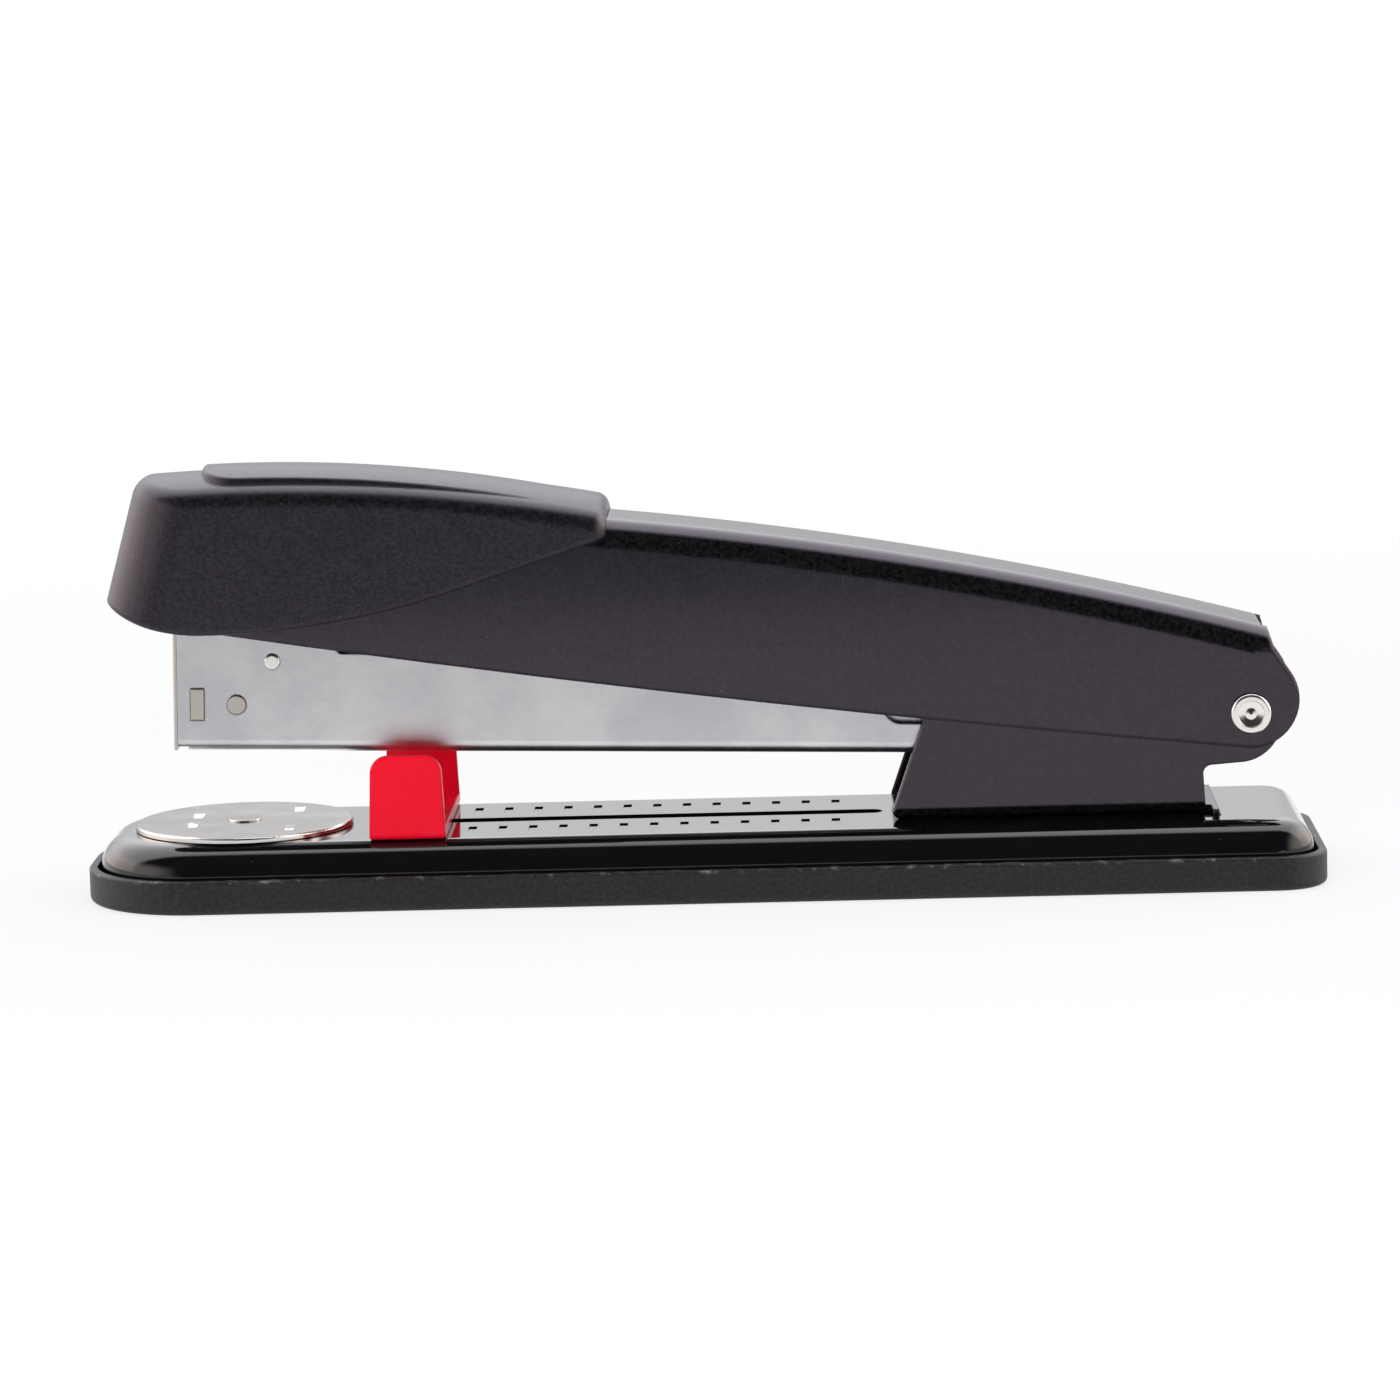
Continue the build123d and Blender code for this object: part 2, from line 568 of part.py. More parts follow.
# Magazine case: a tall folded channel with a tower at the nose and ears round the hinge
CASE_FRONT = NOSE_INNER - NOSE_SEAM
wall = polygon(
    [
        (-CASE_FRONT, -CASE_DROP),
        (-EAR_RADIUS - CASE_DROP, -CASE_DROP),
        (0, -EAR_RADIUS),
        (0, EAR_RADIUS),
        (-CASE_NOTCH_REAR, EAR_RADIUS),
        (-CASE_NOTCH_REAR - 2 * CASE_NOTCH_SLANT, CASE_NOTCH_LEVEL),
        (CASE_NOTCH_SLANT - CASE_NOTCH_FRONT, CASE_NOTCH_LEVEL),
        (-CASE_NOTCH_FRONT, CASE_LEDGE),
        (TOWER_LENGTH + TOWER_SLANT - CASE_FRONT, CASE_LEDGE),
        (TOWER_LENGTH - CASE_FRONT, CASE_TOWER),
        (-CASE_FRONT, CASE_TOWER),
    ],
    [0, CASE_CORNER, 0, 0] + 3 * [CASE_NOTCH_CORNER] + [CASE_CORNER, CASE_CORNER / 2] + 2 * [CASE_CORNER],
)
wall += Circle(EAR_RADIUS)
magazine_case = Pos(0, 0, -CASE_DROP) * channel(
    CASE_HALF, CASE_DROP + CASE_TOWER, CASE_SHEET, CASE_BEND, -CASE_FRONT, EAR_RADIUS
)
magazine_case &= prism(wall, CASE_HALF)
case_inner = CASE_HALF - CASE_SHEET
for floor_low, floor_high in ((-NOSE_REACH, -RAIL_FRONT), (-CASE_TAIL_GAP, EAR_RADIUS)):
    magazine_case -= block(floor_low, floor_high, -case_inner, case_inner, -CASE_DROP, CASE_TOWER)
nose_foot = CASE_NOSE_CUT - CASE_DROP
magazine_case -= block(-NOSE_REACH, -RAIL_FRONT, -CASE_HALF, CASE_HALF, -CASE_DROP, nose_foot)
magazine_case -= cross_rod(0, 0, PIN_RADIUS + PIN_RUNNING_PLAY, CASE_HALF)
PIN_AT = CROSS_PIN_SETBACK - NOSE_REACH
magazine_case -= cross_rod(PIN_AT, CROSS_PIN_LEVEL, CROSS_PIN_RADIUS + CROSS_PIN_FIT, CASE_HALF)
LUG_AT = LUG_SETBACK - NOSE_REACH
BOSS_AT = BOSS_SETBACK - NOSE_REACH
magazine_case -= block(
    LUG_AT - LUG_PLAY,
    LUG_AT + LUG_LENGTH + LUG_PLAY,
    -CASE_HALF,
    CASE_HALF,
    LUG_LOW - LUG_PLAY,
    LUG_HIGH + LUG_PLAY,
)
magazine_case -= cross_rod(BOSS_AT, BOSS_LEVEL, BOSS_RADIUS + LUG_PLAY, CASE_HALF)

# Nose plate: the front wall with two ears inside the case, which show through it as a lug and a boss
nose_low = NOSE_PLATE_LIFT - CASE_DROP
nose_plate = block(-NOSE_REACH, -NOSE_INNER, -CASE_HALF, CASE_HALF, nose_low, NOSE_PLATE_TOP)
nose_plate = fillet(nose_plate.edges().filter_by(Axis.Z).group_by(Axis.X)[0], NOSE_SHEET / 2)
ear_back = NOSE_EAR_LENGTH - NOSE_INNER
ear_low = CASE_FLOOR_TOP + CASE_BEND
nose_plate += block(-NOSE_INNER, ear_back, -NOSE_HALF, NOSE_HALF, ear_low, NOSE_EAR_TOP)
LUG_HALF = CASE_HALF + LUG_PROUD
nose_plate += block(LUG_AT, LUG_AT + LUG_LENGTH, -LUG_HALF, LUG_HALF, LUG_LOW, LUG_HIGH)
nose_plate += cross_rod(BOSS_AT, BOSS_LEVEL, BOSS_RADIUS, CASE_HALF + BOSS_PROUD)
nose_plate -= block(-NOSE_INNER, 0, -CHANNEL_HALF, CHANNEL_HALF, -CASE_DROP, CASE_TOWER)

# Cross pin that ties the case's walls above the staples
cross_pin = cross_rod(PIN_AT, CROSS_PIN_LEVEL, CROSS_PIN_RADIUS, CASE_HALF + CROSS_PIN_PROUD)
cross_pin = fillet(cross_pin.edges().filter_by(GeomType.CIRCLE), CROSS_PIN_EDGE)

# Staple rail: an inverted channel with closed ends, slotted on top for the pusher's stem
rail_height = RAIL_TOP - CASE_FLOOR_TOP
staple_rail = channel(RAIL_HALF, rail_height, RAIL_SHEET, RAIL_BEND, RAIL_TAIL, RAIL_FRONT)
staple_rail = Rot(0, 180, 0) * staple_rail
staple_rail = Pos(0, 0, RAIL_TOP) * staple_rail
rail_room = RAIL_TOP - RAIL_SHEET
rail_inner = RAIL_HALF - RAIL_SHEET
for end_front in (RAIL_FRONT, RAIL_TAIL + RAIL_SHEET):
    staple_rail += block(
        -end_front, RAIL_SHEET - end_front, -rail_inner, rail_inner, CASE_FLOOR_TOP, rail_room
    )
slot_half = RAIL_SLOT_WIDTH / 2
staple_rail -= block(
    RAIL_SLOT_START - RAIL_FRONT, -RAIL_SLOT_TAIL, -slot_half, slot_half, rail_room, RAIL_TOP
)


def rod_along(radius, x_low, x_high):
    """A round bar along the rail, on the guide rod's line."""
    return Pos((x_low + x_high) / 2, 0, ROD_LEVEL) * Rot(0, 90, 0) * Cylinder(radius, x_high - x_low)


# Guide rod, peened behind the rail's rear end
staple_rail -= rod_along(ROD_RADIUS + ROD_FIT, -RAIL_FRONT, -RAIL_TAIL)
guide_rod = rod_along(ROD_RADIUS, -RAIL_FRONT, -RAIL_TAIL)
guide_rod += rod_along(ROD_HEAD_RADIUS, -RAIL_TAIL, ROD_HEAD - RAIL_TAIL)

# Pusher: a saddle over the rail, with a stem through its slot to a slider on the rod
PUSHER_FRONT = RAIL_FRONT - PUSHER_GAP
pusher_back = PUSHER_LENGTH - PUSHER_FRONT
saddle_inner = RAIL_HALF + PUSHER_PLAY / 2
saddle_half = saddle_inner + PUSHER_SHEET
saddle_low = CASE_FLOOR_TOP + RAIL_LEG_ROOM
saddle_top = RAIL_TOP + PUSHER_PLAY + PUSHER_SHEET
saddle_height = saddle_top - saddle_low
saddle = channel(saddle_half, saddle_height, PUSHER_SHEET, RAIL_BEND, -pusher_back, PUSHER_FRONT)
pusher = Pos(0, 0, saddle_top) * Rot(0, 180, 0) * saddle
tab_front = pusher_back - PUSHER_SHEET
tab_low = saddle_top - PUSHER_SHEET
tab_top = saddle_top + PUSHER_TAB
pusher += block(tab_front, pusher_back, -saddle_inner, saddle_inner, tab_low, tab_top)
slider_front = SLIDER_SETBACK - PUSHER_FRONT
slider_back = slider_front + SLIDER_LENGTH
slider_half = rail_inner - SLIDER_PLAY
slider_low = CASE_FLOOR_TOP + SLIDER_PLAY
slider_top = rail_room - SLIDER_PLAY
pusher += block(slider_front, slider_back, -slider_half, slider_half, slider_low, slider_top)
stem_half = slot_half - STEM_PLAY
stem_front = RAIL_SLOT_START - RAIL_FRONT + STEM_PLAY
pusher += block(stem_front, slider_back, -stem_half, stem_half, slider_top, tab_low)
pusher -= rod_along(ROD_RADIUS + PUSHER_PLAY, slider_front, slider_back)


def coil_point(turn):
    """A point of the coil's centre line, counted in turns from its front end."""
    angle = 2 * pi * turn
    along = coil_start + COIL_PITCH * turn
    return Vector(along, COIL_RADIUS * cos(angle), ROD_LEVEL + COIL_RADIUS * sin(angle))


def coil_direction(turn):
    """The coil's direction at that point."""
    angle = 2 * pi * turn
    climb = COIL_PITCH / (2 * pi * COIL_RADIUS)
    return Vector(climb, -sin(angle), cos(angle)).normalized()


def half_turn(turn):
    """Two tangent arcs that join the coil's points at turn and half a turn on."""
    start, end = coil_point(turn), coil_point(turn + 0.5)
    leave, arrive = coil_direction(turn), coil_direction(turn + 0.5)
    gap = end - start
    both = leave + arrive
    a = both.dot(both) - 4
    b = -2 * gap.dot(both)
    c = gap.dot(gap)
    reach = (-b - sqrt(b * b - 4 * a * c)) / (2 * a)
    first, last = start + leave * reach, end - arrive * reach
    middle = (first + last) / 2
    return [
        Edge.make_tangent_arc(start, leave, middle),
        Edge.make_tangent_arc(middle, last - first, end),
    ]


# Coil spring round the rod, from the slider to the rail's rear end
coil_start = slider_back + COIL_WIRE / 2 + COIL_END_GAP
coil_end = -RAIL_TAIL - RAIL_SHEET - COIL_WIRE / 2 - COIL_END_GAP
COIL_PITCH = (coil_end - coil_start) / COIL_TURNS
coil_path = Wire([arc for half in range(2 * COIL_TURNS) for arc in half_turn(half / 2)])
coil_section = Plane(coil_path @ 0, z_dir=coil_path % 0) * Circle(COIL_WIRE / 2)
pusher_spring = sweep(coil_section, coil_path)
coil_samples = [coil_point(step / 24) for step in range(24 * 3)]
least = min((a - b).length for a in coil_samples[:24] for b in coil_samples[36:])
print("pusher spring: least gap to itself", round(least - COIL_WIRE, 2), "mm")

# Return spring: a leaf from the rail's rear end up to the underside of the cover
foot_level = RAIL_TOP + LEAF_SHEET / 2
tip_roof = cover_level(-RETURN_TIP_AHEAD, -COVER_SHEET)
tip_under = Rot(0, -REST_TILT, 0) * Pos(-RETURN_TIP_AHEAD, 0, tip_roof)
tip_x = tip_under.position.X
tip_z = tip_under.position.Z - LEAF_PLAY - LEAF_SHEET
return_path = FilletPolyline(
    (-RETURN_FOOT_AHEAD, foot_level),
    (RETURN_FOOT_LENGTH - RETURN_FOOT_AHEAD, foot_level),
    (tip_x - RETURN_TIP_LENGTH, tip_z),
    (tip_x, tip_z - RETURN_TIP_LENGTH / 4),
    radius=[LEAF_BEND, LEAF_BEND / 3],
)
return_spring = leaf(return_path, LEAF_HALF_WIDTH)
return_rivet_x = RETURN_FOOT_LENGTH / 2 - RETURN_FOOT_AHEAD
return_foot_top = RAIL_TOP + LEAF_SHEET
return_rivet = upright(return_rivet_x, 0, LEAF_RIVET_RADIUS, rail_room - LEAF_RIVET_TAIL, return_foot_top)
return_rivet += upright(
    return_rivet_x, 0, LEAF_RIVET_HEAD_RADIUS, return_foot_top, return_foot_top + LEAF_RIVET_HEAD
)
rivet_hole = LEAF_RIVET_RADIUS + RIVET_FIT
return_spring -= upright(return_rivet_x, 0, rivet_hole, RAIL_TOP, return_foot_top)
staple_rail -= upright(return_rivet_x, 0, rivet_hole, rail_room, RAIL_TOP)

# Lift spring: a leaf from the bracket's floor up to the underside of the magazine
lift_foot = BRACKET_FLOOR - HINGE_Z + LEAF_SHEET / 2
lift_tip = LIFT_TIP_AHEAD * sin(radians(REST_TILT)) - CASE_DROP * cos(radians(REST_TILT))
lift_tip -= LEAF_PLAY + LEAF_SHEET
lift_path = FilletPolyline(
    (-LIFT_FOOT_AHEAD, lift_foot),
    (LIFT_FOOT_LENGTH - LIFT_FOOT_AHEAD, lift_foot),
    (-LIFT_TIP_AHEAD, lift_tip),
    (LIFT_TIP_LENGTH - LIFT_TIP_AHEAD, lift_tip - LIFT_TIP_LENGTH / 4),
    radius=[LEAF_BEND, LEAF_BEND / 3],
)
lift_spring = COVER_FRAME * leaf(lift_path, LEAF_HALF_WIDTH)
lift_rivet_x = HINGE_X - LIFT_FOOT_AHEAD + LIFT_FOOT_LENGTH / 2
lift_foot_top = BRACKET_FLOOR + LEAF_SHEET
lift_rivet = upright(lift_rivet_x, 0, LEAF_RIVET_RADIUS, PLATE_TOP, lift_foot_top)
lift_head_top = lift_foot_top + LEAF_RIVET_HEAD
lift_rivet += upright(lift_rivet_x, 0, LEAF_RIVET_HEAD_RADIUS, lift_foot_top, lift_head_top)
lift_spring -= upright(lift_rivet_x, 0, rivet_hole, BRACKET_FLOOR, lift_foot_top)
bracket -= upright(lift_rivet_x, 0, rivet_hole, PLATE_TOP, BRACKET_FLOOR)

# Cover: a pressed channel with a crowned top, sloping lower edges and a round lobe at the hinge
lobe_low = COVER_LOBE_RISE - COVER_LOBE_RADIUS
cover_edge = bow((-COVER_NOSE, COVER_NOSE_EDGE), (0, lobe_low), COVER_EDGE_SAG)
waist_rise = COVER_WAIST_RISE - COVER_LOBE_RISE
lobe_turn = atan2(waist_rise, COVER_WAIST) - acos(COVER_LOBE_RADIUS / hypot(COVER_WAIST, waist_rise))
lobe_touch = (COVER_LOBE_RADIUS * cos(lobe_turn), COVER_LOBE_RISE + COVER_LOBE_RADIUS * sin(lobe_turn))
cover_rim = Polyline(
    (0, lobe_low),
    (0, COVER_LOBE_RISE),
    lobe_touch,
    (COVER_WAIST, COVER_WAIST_RISE),
    (COVER_TAIL, COVER_TAIL_TOP),
    (COVER_TAIL, 2 * COVER_NOSE_TOP),
    (-COVER_NOSE, 2 * COVER_NOSE_TOP),
    (-COVER_NOSE, COVER_NOSE_EDGE),
)
cover_side = make_face(cover_edge.edges() + cover_rim.edges())
cover_side += Pos(0, COVER_LOBE_RISE) * Circle(COVER_LOBE_RADIUS)
lobe_room = block(0, 2 * COVER_LOBE_RADIUS, -COVER_HALF, COVER_HALF, lobe_low, COVER_WAIST_RISE)
cover = (cover_form(COVER_HALF, 0) + lobe_room) & prism(cover_side, COVER_HALF)
cover -= cover_form(COVER_INNER, -COVER_SHEET)
cover -= block(0, 2 * COVER_LOBE_RADIUS, -COVER_INNER, COVER_INNER, lobe_low, COVER_WAIST_RISE)
cover -= block(
    COVER_TAIL - COVER_NOTCH,
    2 * COVER_TAIL,
    -COVER_NOTCH_HALF_WIDTH,
    COVER_NOTCH_HALF_WIDTH,
    COVER_WAIST_RISE,
    COVER_NOSE_TOP,
)
cover -= cross_rod(0, 0, PIN_RADIUS + PIN_RUNNING_PLAY, COVER_HALF)

# Driver blade: upright at the end of its stroke, with a flange bent back under the cover's nose
struck_turn = radians(REST_TILT + DRIVE_TILT)


def struck(ahead, level):
    """Rest place, in the cover's frame, of a point given in the magazine's frame at the stroke's end."""
    return (
        level * sin(struck_turn) - ahead * cos(struck_turn),
        ahead * sin(struck_turn) + level * cos(struck_turn),
    )


blade_tip = -CASE_DROP - BLADE_OVERTRAVEL
tip_front = struck(BLADE_FRONT, blade_tip)
tip_back = struck(BLADE_BACK, blade_tip)
flange_top = min(
    cover_level(-COVER_NOSE, -COVER_SHEET), cover_level(FLANGE_LENGTH - COVER_NOSE, -COVER_SHEET)
) - FLANGE_GAP
flange_low = flange_top - BLADE_SHEET
top_front = (tip_front[0] + (flange_top - tip_front[1]) * tan(struck_turn), flange_top)
top_back = (tip_back[0] + (flange_low - tip_back[1]) * tan(struck_turn), flange_low)
flange_end = FLANGE_LENGTH - COVER_NOSE
blade_half = CHANNEL_HALF - BLADE_PLAY
driver_blade = prism(
    polygon(
        [tip_front, tip_back, top_back, (flange_end, flange_low), (flange_end, flange_top), top_front],
        [0, 0, BLADE_SHEET / 2, 0, 0, 3 * BLADE_SHEET / 2],
    ),
    blade_half,
)
rivet_x = DRIVER_RIVET_SETBACK - COVER_NOSE
rivet_top = cover_level(rivet_x, -CAP_FIT)
driver_rivets = []
for side in (-1, 1):
    rivet_y = side * DRIVER_RIVET_SPACING / 2
    rivet = upright(rivet_x, rivet_y, DRIVER_RIVET_RADIUS, flange_low, rivet_top)
    rivet += upright(
        rivet_x, rivet_y, DRIVER_RIVET_HEAD_RADIUS, flange_low - DRIVER_RIVET_HEAD, flange_low
    )
    driver_rivets.append(rivet)
    hole = upright(rivet_x, rivet_y, DRIVER_RIVET_RADIUS + RIVET_FIT, flange_low, rivet_top + COVER_SHEET)
    driver_blade -= hole
    cover -= hole

# Head cap: a moulded hood over the cover's front, with a swept lower edge and a raised finger pad
cap_front = (-CAP_FRONT, CAP_FRONT_TOP)
cap_rear = (-CAP_REAR, CAP_REAR_TOP)
cap_toe = (-CAP_FRONT - CAP_FRONT_TOP * tan(radians(CAP_FRONT_LEAN)), 0)
cap_crown = bow(cap_rear, cap_front, CAP_CROWN)
cap_sides = Polyline(cap_front, cap_toe, (-CAP_REAR, 0), cap_rear)
head_cap = prism(make_face(cap_crown.edges() + cap_sides.edges()), CAP_HALF)
front_face = head_cap.faces().sort_by(Axis.X)[0]
head_cap = fillet(front_face.edges().filter_by(Axis.Y, reverse=True), CAP_FRONT_RADIUS)
head_cap &= arched_room(cap_front, cap_rear, CAP_CROWN, CAP_HALF, CAP_ARCH_RADIUS)
top_face = head_cap.faces().sort_by(Axis.Z)[-1]
head_cap = fillet(top_face.edges().sort_by(Axis.X, reverse=True)[1:], CAP_SHOULDER)
rear_face = head_cap.faces().sort_by(Axis.X)[-1]
head_cap = fillet(rear_face.edges().sort_by(Axis.Z)[1:], CAP_REAR_EDGE)

# Its finger pad stands highest at the front and runs out into the cap's top
pad_front = (-PAD_FRONT, crown_level(cap_front, cap_rear, CAP_CROWN, -PAD_FRONT) + PAD_RISE)
pad_rear = (-PAD_REAR, crown_level(cap_front, cap_rear, CAP_CROWN, -PAD_REAR))
pad_crown = bow(pad_rear, pad_front, PAD_CROWN)
pad_foot = Polyline(pad_front, (-PAD_FRONT, CAP_LOW_LEVEL), (-PAD_REAR, CAP_LOW_LEVEL), pad_rear)
pad_side = make_face(pad_crown.edges() + pad_foot.edges())
pad_plan = polygon(
    [
        (-PAD_FRONT, -PAD_HALF_WIDTH),
        (-PAD_REAR, -PAD_HALF_WIDTH),
        (-PAD_REAR, PAD_HALF_WIDTH),
        (-PAD_FRONT, PAD_HALF_WIDTH),
    ],
    [PAD_CORNER, 0, 0, PAD_CORNER],
)
finger_pad = prism(pad_side, PAD_HALF_WIDTH) & extrude(pad_plan, 2 * CAP_FRONT_TOP)
finger_pad &= arched_room(pad_front, pad_rear, PAD_CROWN, PAD_HALF_WIDTH, CAP_ARCH_RADIUS)
pad_top = finger_pad.faces().sort_by(Axis.Z)[-1]
finger_pad = fillet(pad_top.edges().sort_by(Axis.X)[:-1], PAD_EDGE)
head_cap += finger_pad

# The lower edge dips under the nose and sweeps up to the rear
sweep_turn = radians(CAP_SWEEP_ANGLE)
lip_run = CAP_LIP_RADIUS * sin(pi / 4)
lip_end = (-CAP_LOW_POINT - lip_run, CAP_LOW_LEVEL + CAP_LIP_RADIUS * (1 - cos(pi / 4)))
low_point = (-CAP_LOW_POINT, CAP_LOW_LEVEL)
sweep_end = (
    CAP_SWEEP_RADIUS * sin(sweep_turn) - CAP_LOW_POINT,
    CAP_LOW_LEVEL + CAP_SWEEP_RADIUS * (1 - cos(sweep_turn)),
)
rear_low = (0, sweep_end[1] - sweep_end[0] * tan(sweep_turn))
lip = TangentArc(low_point, lip_end, tangent=(-1, 0))
swept = TangentArc(low_point, sweep_end, tangent=(1, 0))
above = 3 * CAP_FRONT_TOP
outside = Polyline(sweep_end, rear_low, (0, above), (lip_end[0], above), lip_end)
head_cap &= prism(make_face(lip.edges() + swept.edges() + outside.edges()), CAP_HALF)
under = head_cap.faces().filter_by(lambda face: face.normal_at().Z < -0.5)
head_cap = fillet(under.edges().filter_by(lambda edge: abs(edge.center().Y) > CAP_HALF / 2), CAP_BEAD)

# Hollowed for the cover, the magazine's nose and the driver blade
head_cap -= cover_form(COVER_HALF + CAP_FIT, CAP_FIT)
room_half = CASE_HALF + NOSE_ROOM_SIDE
head_cap -= block(-NOSE_REACH - NOSE_ROOM, -COVER_LOBE_RADIUS, -room_half, room_half, 0, NOSE_ROOM_TOP)
blade_room = blade_half + BLADE_PLAY
head_cap -= block(
    -BLADE_FRONT - BLADE_GAP, -COVER_LOBE_RADIUS, -blade_room, blade_room, 0, flange_top + FLANGE_GAP
)

PIECES = {
    "base_shoe": base_shoe,
    "base_plate": base_plate,
    "bracket": bracket,
    "hinge_pin": hinge_pin,
    "anvil_disc": anvil_disc,
    "anvil_post": anvil_post,
    "anvil_button": anvil_button,
    "anvil_spring": anvil_spring,
    "paper_stop": paper_stop,
    "stop_retainer": stop_retainer,
    "lift_spring": lift_spring,
    "lift_rivet": lift_rivet,
    "magazine_case": MAGAZINE_FRAME * magazine_case,
    "nose_plate": MAGAZINE_FRAME * nose_plate,
    "cross_pin": MAGAZINE_FRAME * cross_pin,
    "staple_rail": MAGAZINE_FRAME * staple_rail,
    "guide_rod": MAGAZINE_FRAME * guide_rod,
    "pusher_spring": MAGAZINE_FRAME * pusher_spring,
    "pusher": MAGAZINE_FRAME * pusher,
    "return_spring": MAGAZINE_FRAME * return_spring,
    "return_rivet": MAGAZINE_FRAME * return_rivet,
    "cover": COVER_FRAME * cover,
    "head_cap": COVER_FRAME * head_cap,
    "driver_blade": COVER_FRAME * driver_blade,
    "driver_rivets": COVER_FRAME * Compound([rivet.solid() for rivet in driver_rivets]),
}
os.makedirs("parts", exist_ok=True)
for name, piece in PIECES.items():
    export_step(piece, f"parts/{name}.step")
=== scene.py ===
import bpy
import numpy as np
from mathutils import Matrix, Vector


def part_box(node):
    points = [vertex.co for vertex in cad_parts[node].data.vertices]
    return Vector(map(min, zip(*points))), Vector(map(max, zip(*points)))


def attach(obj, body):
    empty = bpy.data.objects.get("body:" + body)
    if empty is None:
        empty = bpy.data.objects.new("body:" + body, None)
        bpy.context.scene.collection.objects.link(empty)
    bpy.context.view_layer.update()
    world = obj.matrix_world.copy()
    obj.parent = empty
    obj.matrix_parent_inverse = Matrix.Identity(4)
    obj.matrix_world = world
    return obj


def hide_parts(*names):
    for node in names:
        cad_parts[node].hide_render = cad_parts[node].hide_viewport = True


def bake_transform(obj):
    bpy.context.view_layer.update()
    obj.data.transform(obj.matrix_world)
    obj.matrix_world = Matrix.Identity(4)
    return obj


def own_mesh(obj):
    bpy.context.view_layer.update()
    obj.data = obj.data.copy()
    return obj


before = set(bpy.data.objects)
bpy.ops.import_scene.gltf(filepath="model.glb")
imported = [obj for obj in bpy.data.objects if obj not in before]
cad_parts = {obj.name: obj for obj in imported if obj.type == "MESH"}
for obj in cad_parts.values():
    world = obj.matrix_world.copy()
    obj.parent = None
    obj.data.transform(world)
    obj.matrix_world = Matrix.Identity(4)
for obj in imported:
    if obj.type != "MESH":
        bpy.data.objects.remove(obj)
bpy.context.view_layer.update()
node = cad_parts

# The shoe is the moulded tray that the stapler stands on, of matt dark grey plastic.
# It comes out of its mould with a fine grain, and its rim is scuffed pale where hands and desks rub it.
MM = 0.001
SHOE_DARK, SHOE_PALE = (0.002, 0.0018, 0.0026), (0.0170, 0.0158, 0.0190)
SCUFF_GREY, SPECK_GREY = (0.22, 0.21, 0.21), (0.25, 0.25, 0.26)
SCUFF_START, SCUFF_FULL = 4.6 * MM, 5.2 * MM


class Signal:
    """A value on its way through a material's nodes: arithmetic on it adds Math nodes to that material."""

    def __init__(self, socket):
        self.socket = socket

    def node(self, kind, settings, values, output=0):
        """A new node in the same material: its settings first, then the values or links of its sockets."""
        tree = self.socket.id_data
        made = tree.nodes.new(kind)
        for key, value in settings.items():
            setattr(made, key, value)
        for key, value in values.items():
            if isinstance(value, Signal):
                tree.links.new(value.socket, made.inputs[key])
            else:
                made.inputs[key].default_value = value
        return Signal(made.outputs[output])

    def math(self, operation, *values):
        """A Math node on one or more values."""
        return self.node("ShaderNodeMath", {"operation": operation}, dict(enumerate(values)))

    def __add__(self, other):
        return self.math("ADD", self, other)

    def __radd__(self, other):
        return self.math("ADD", other, self)

    def __sub__(self, other):
        return self.math("SUBTRACT", self, other)

    def __rsub__(self, other):
        return self.math("SUBTRACT", other, self)

    def __mul__(self, other):
        return self.math("MULTIPLY", self, other)

    def __rmul__(self, other):
        return self.math("MULTIPLY", other, self)

    def between(self, low, high):
        """0 below low, 1 above high, and a smooth step in between."""
        return self.node(
            "ShaderNodeMapRange",
            {"interpolation_type": "SMOOTHSTEP"},
            {"Value": self, "From Min": low, "From Max": high},
        )

    def noise(self, scale, detail=2.0, rough=0.5):
        """Cloudy noise on this place vector, scale in cycles per metre."""
        return self.node(
            "ShaderNodeTexNoise", {}, {"Vector": self, "Scale": scale, "Detail": detail, "Roughness": rough}
        )

    def stretched(self, x, y, z):
        """This place vector with its axes scaled."""
        return self.node("ShaderNodeVectorMath", {"operation": "MULTIPLY"}, {0: self, 1: (x, y, z)})

    def part(self, axis):
        """One axis of this place vector: 0, 1 or 2."""
        return self.node("ShaderNodeSeparateXYZ", {}, {"Vector": self}, axis)

    def colours(self, low, high):
        """The colour low where this value is 0, high where it is 1."""
        values = {"Factor": self, 6: (*low, 1.0), 7: (*high, 1.0)}
        return self.node("ShaderNodeMix", {"data_type": "RGBA"}, values, 2)

    def tint(self, under, over):
        """The colour under where this value is 0, the plain colour over where it is 1."""
        values = {"Factor": self, 6: under, 7: (*over, 1.0)}
        return self.node("ShaderNodeMix", {"data_type": "RGBA"}, values, 2)

    def bump(self, strength, depth, edge):
        """A normal that follows this value as a height, depth in metres, and rounds sharp edges over edge."""
        softened = self.node("ShaderNodeBevel", {"samples": 4}, {"Radius": edge})
        values = {"Height": self, "Strength": strength, "Distance": depth, "Normal": softened}
        return self.node("ShaderNodeBump", {}, values)


def new_finish(name, **constants):
    """A material with constant values on its shader's sockets; gives it, its shader and its place vector."""
    material = bpy.data.materials.new(name)
    material.use_nodes = True
    shader = material.node_tree.nodes["Principled BSDF"]
    for key, value in constants.items():
        shader.inputs[key.replace("_", " ")].default_value = value
    place = Signal(material.node_tree.nodes.new("ShaderNodeTexCoord").outputs["Object"])
    return material, shader, place


def feed(shader, **signals):
    """Links signals to the shader's sockets."""
    for key, signal in signals.items():
        shader.id_data.links.new(signal.socket, shader.inputs[key.replace("_", " ")])


def wear(material, *pieces):
    """Puts the material on pieces in place of whatever they came with."""
    for piece in pieces:
        piece.data.materials.clear()
        piece.data.materials.append(material)


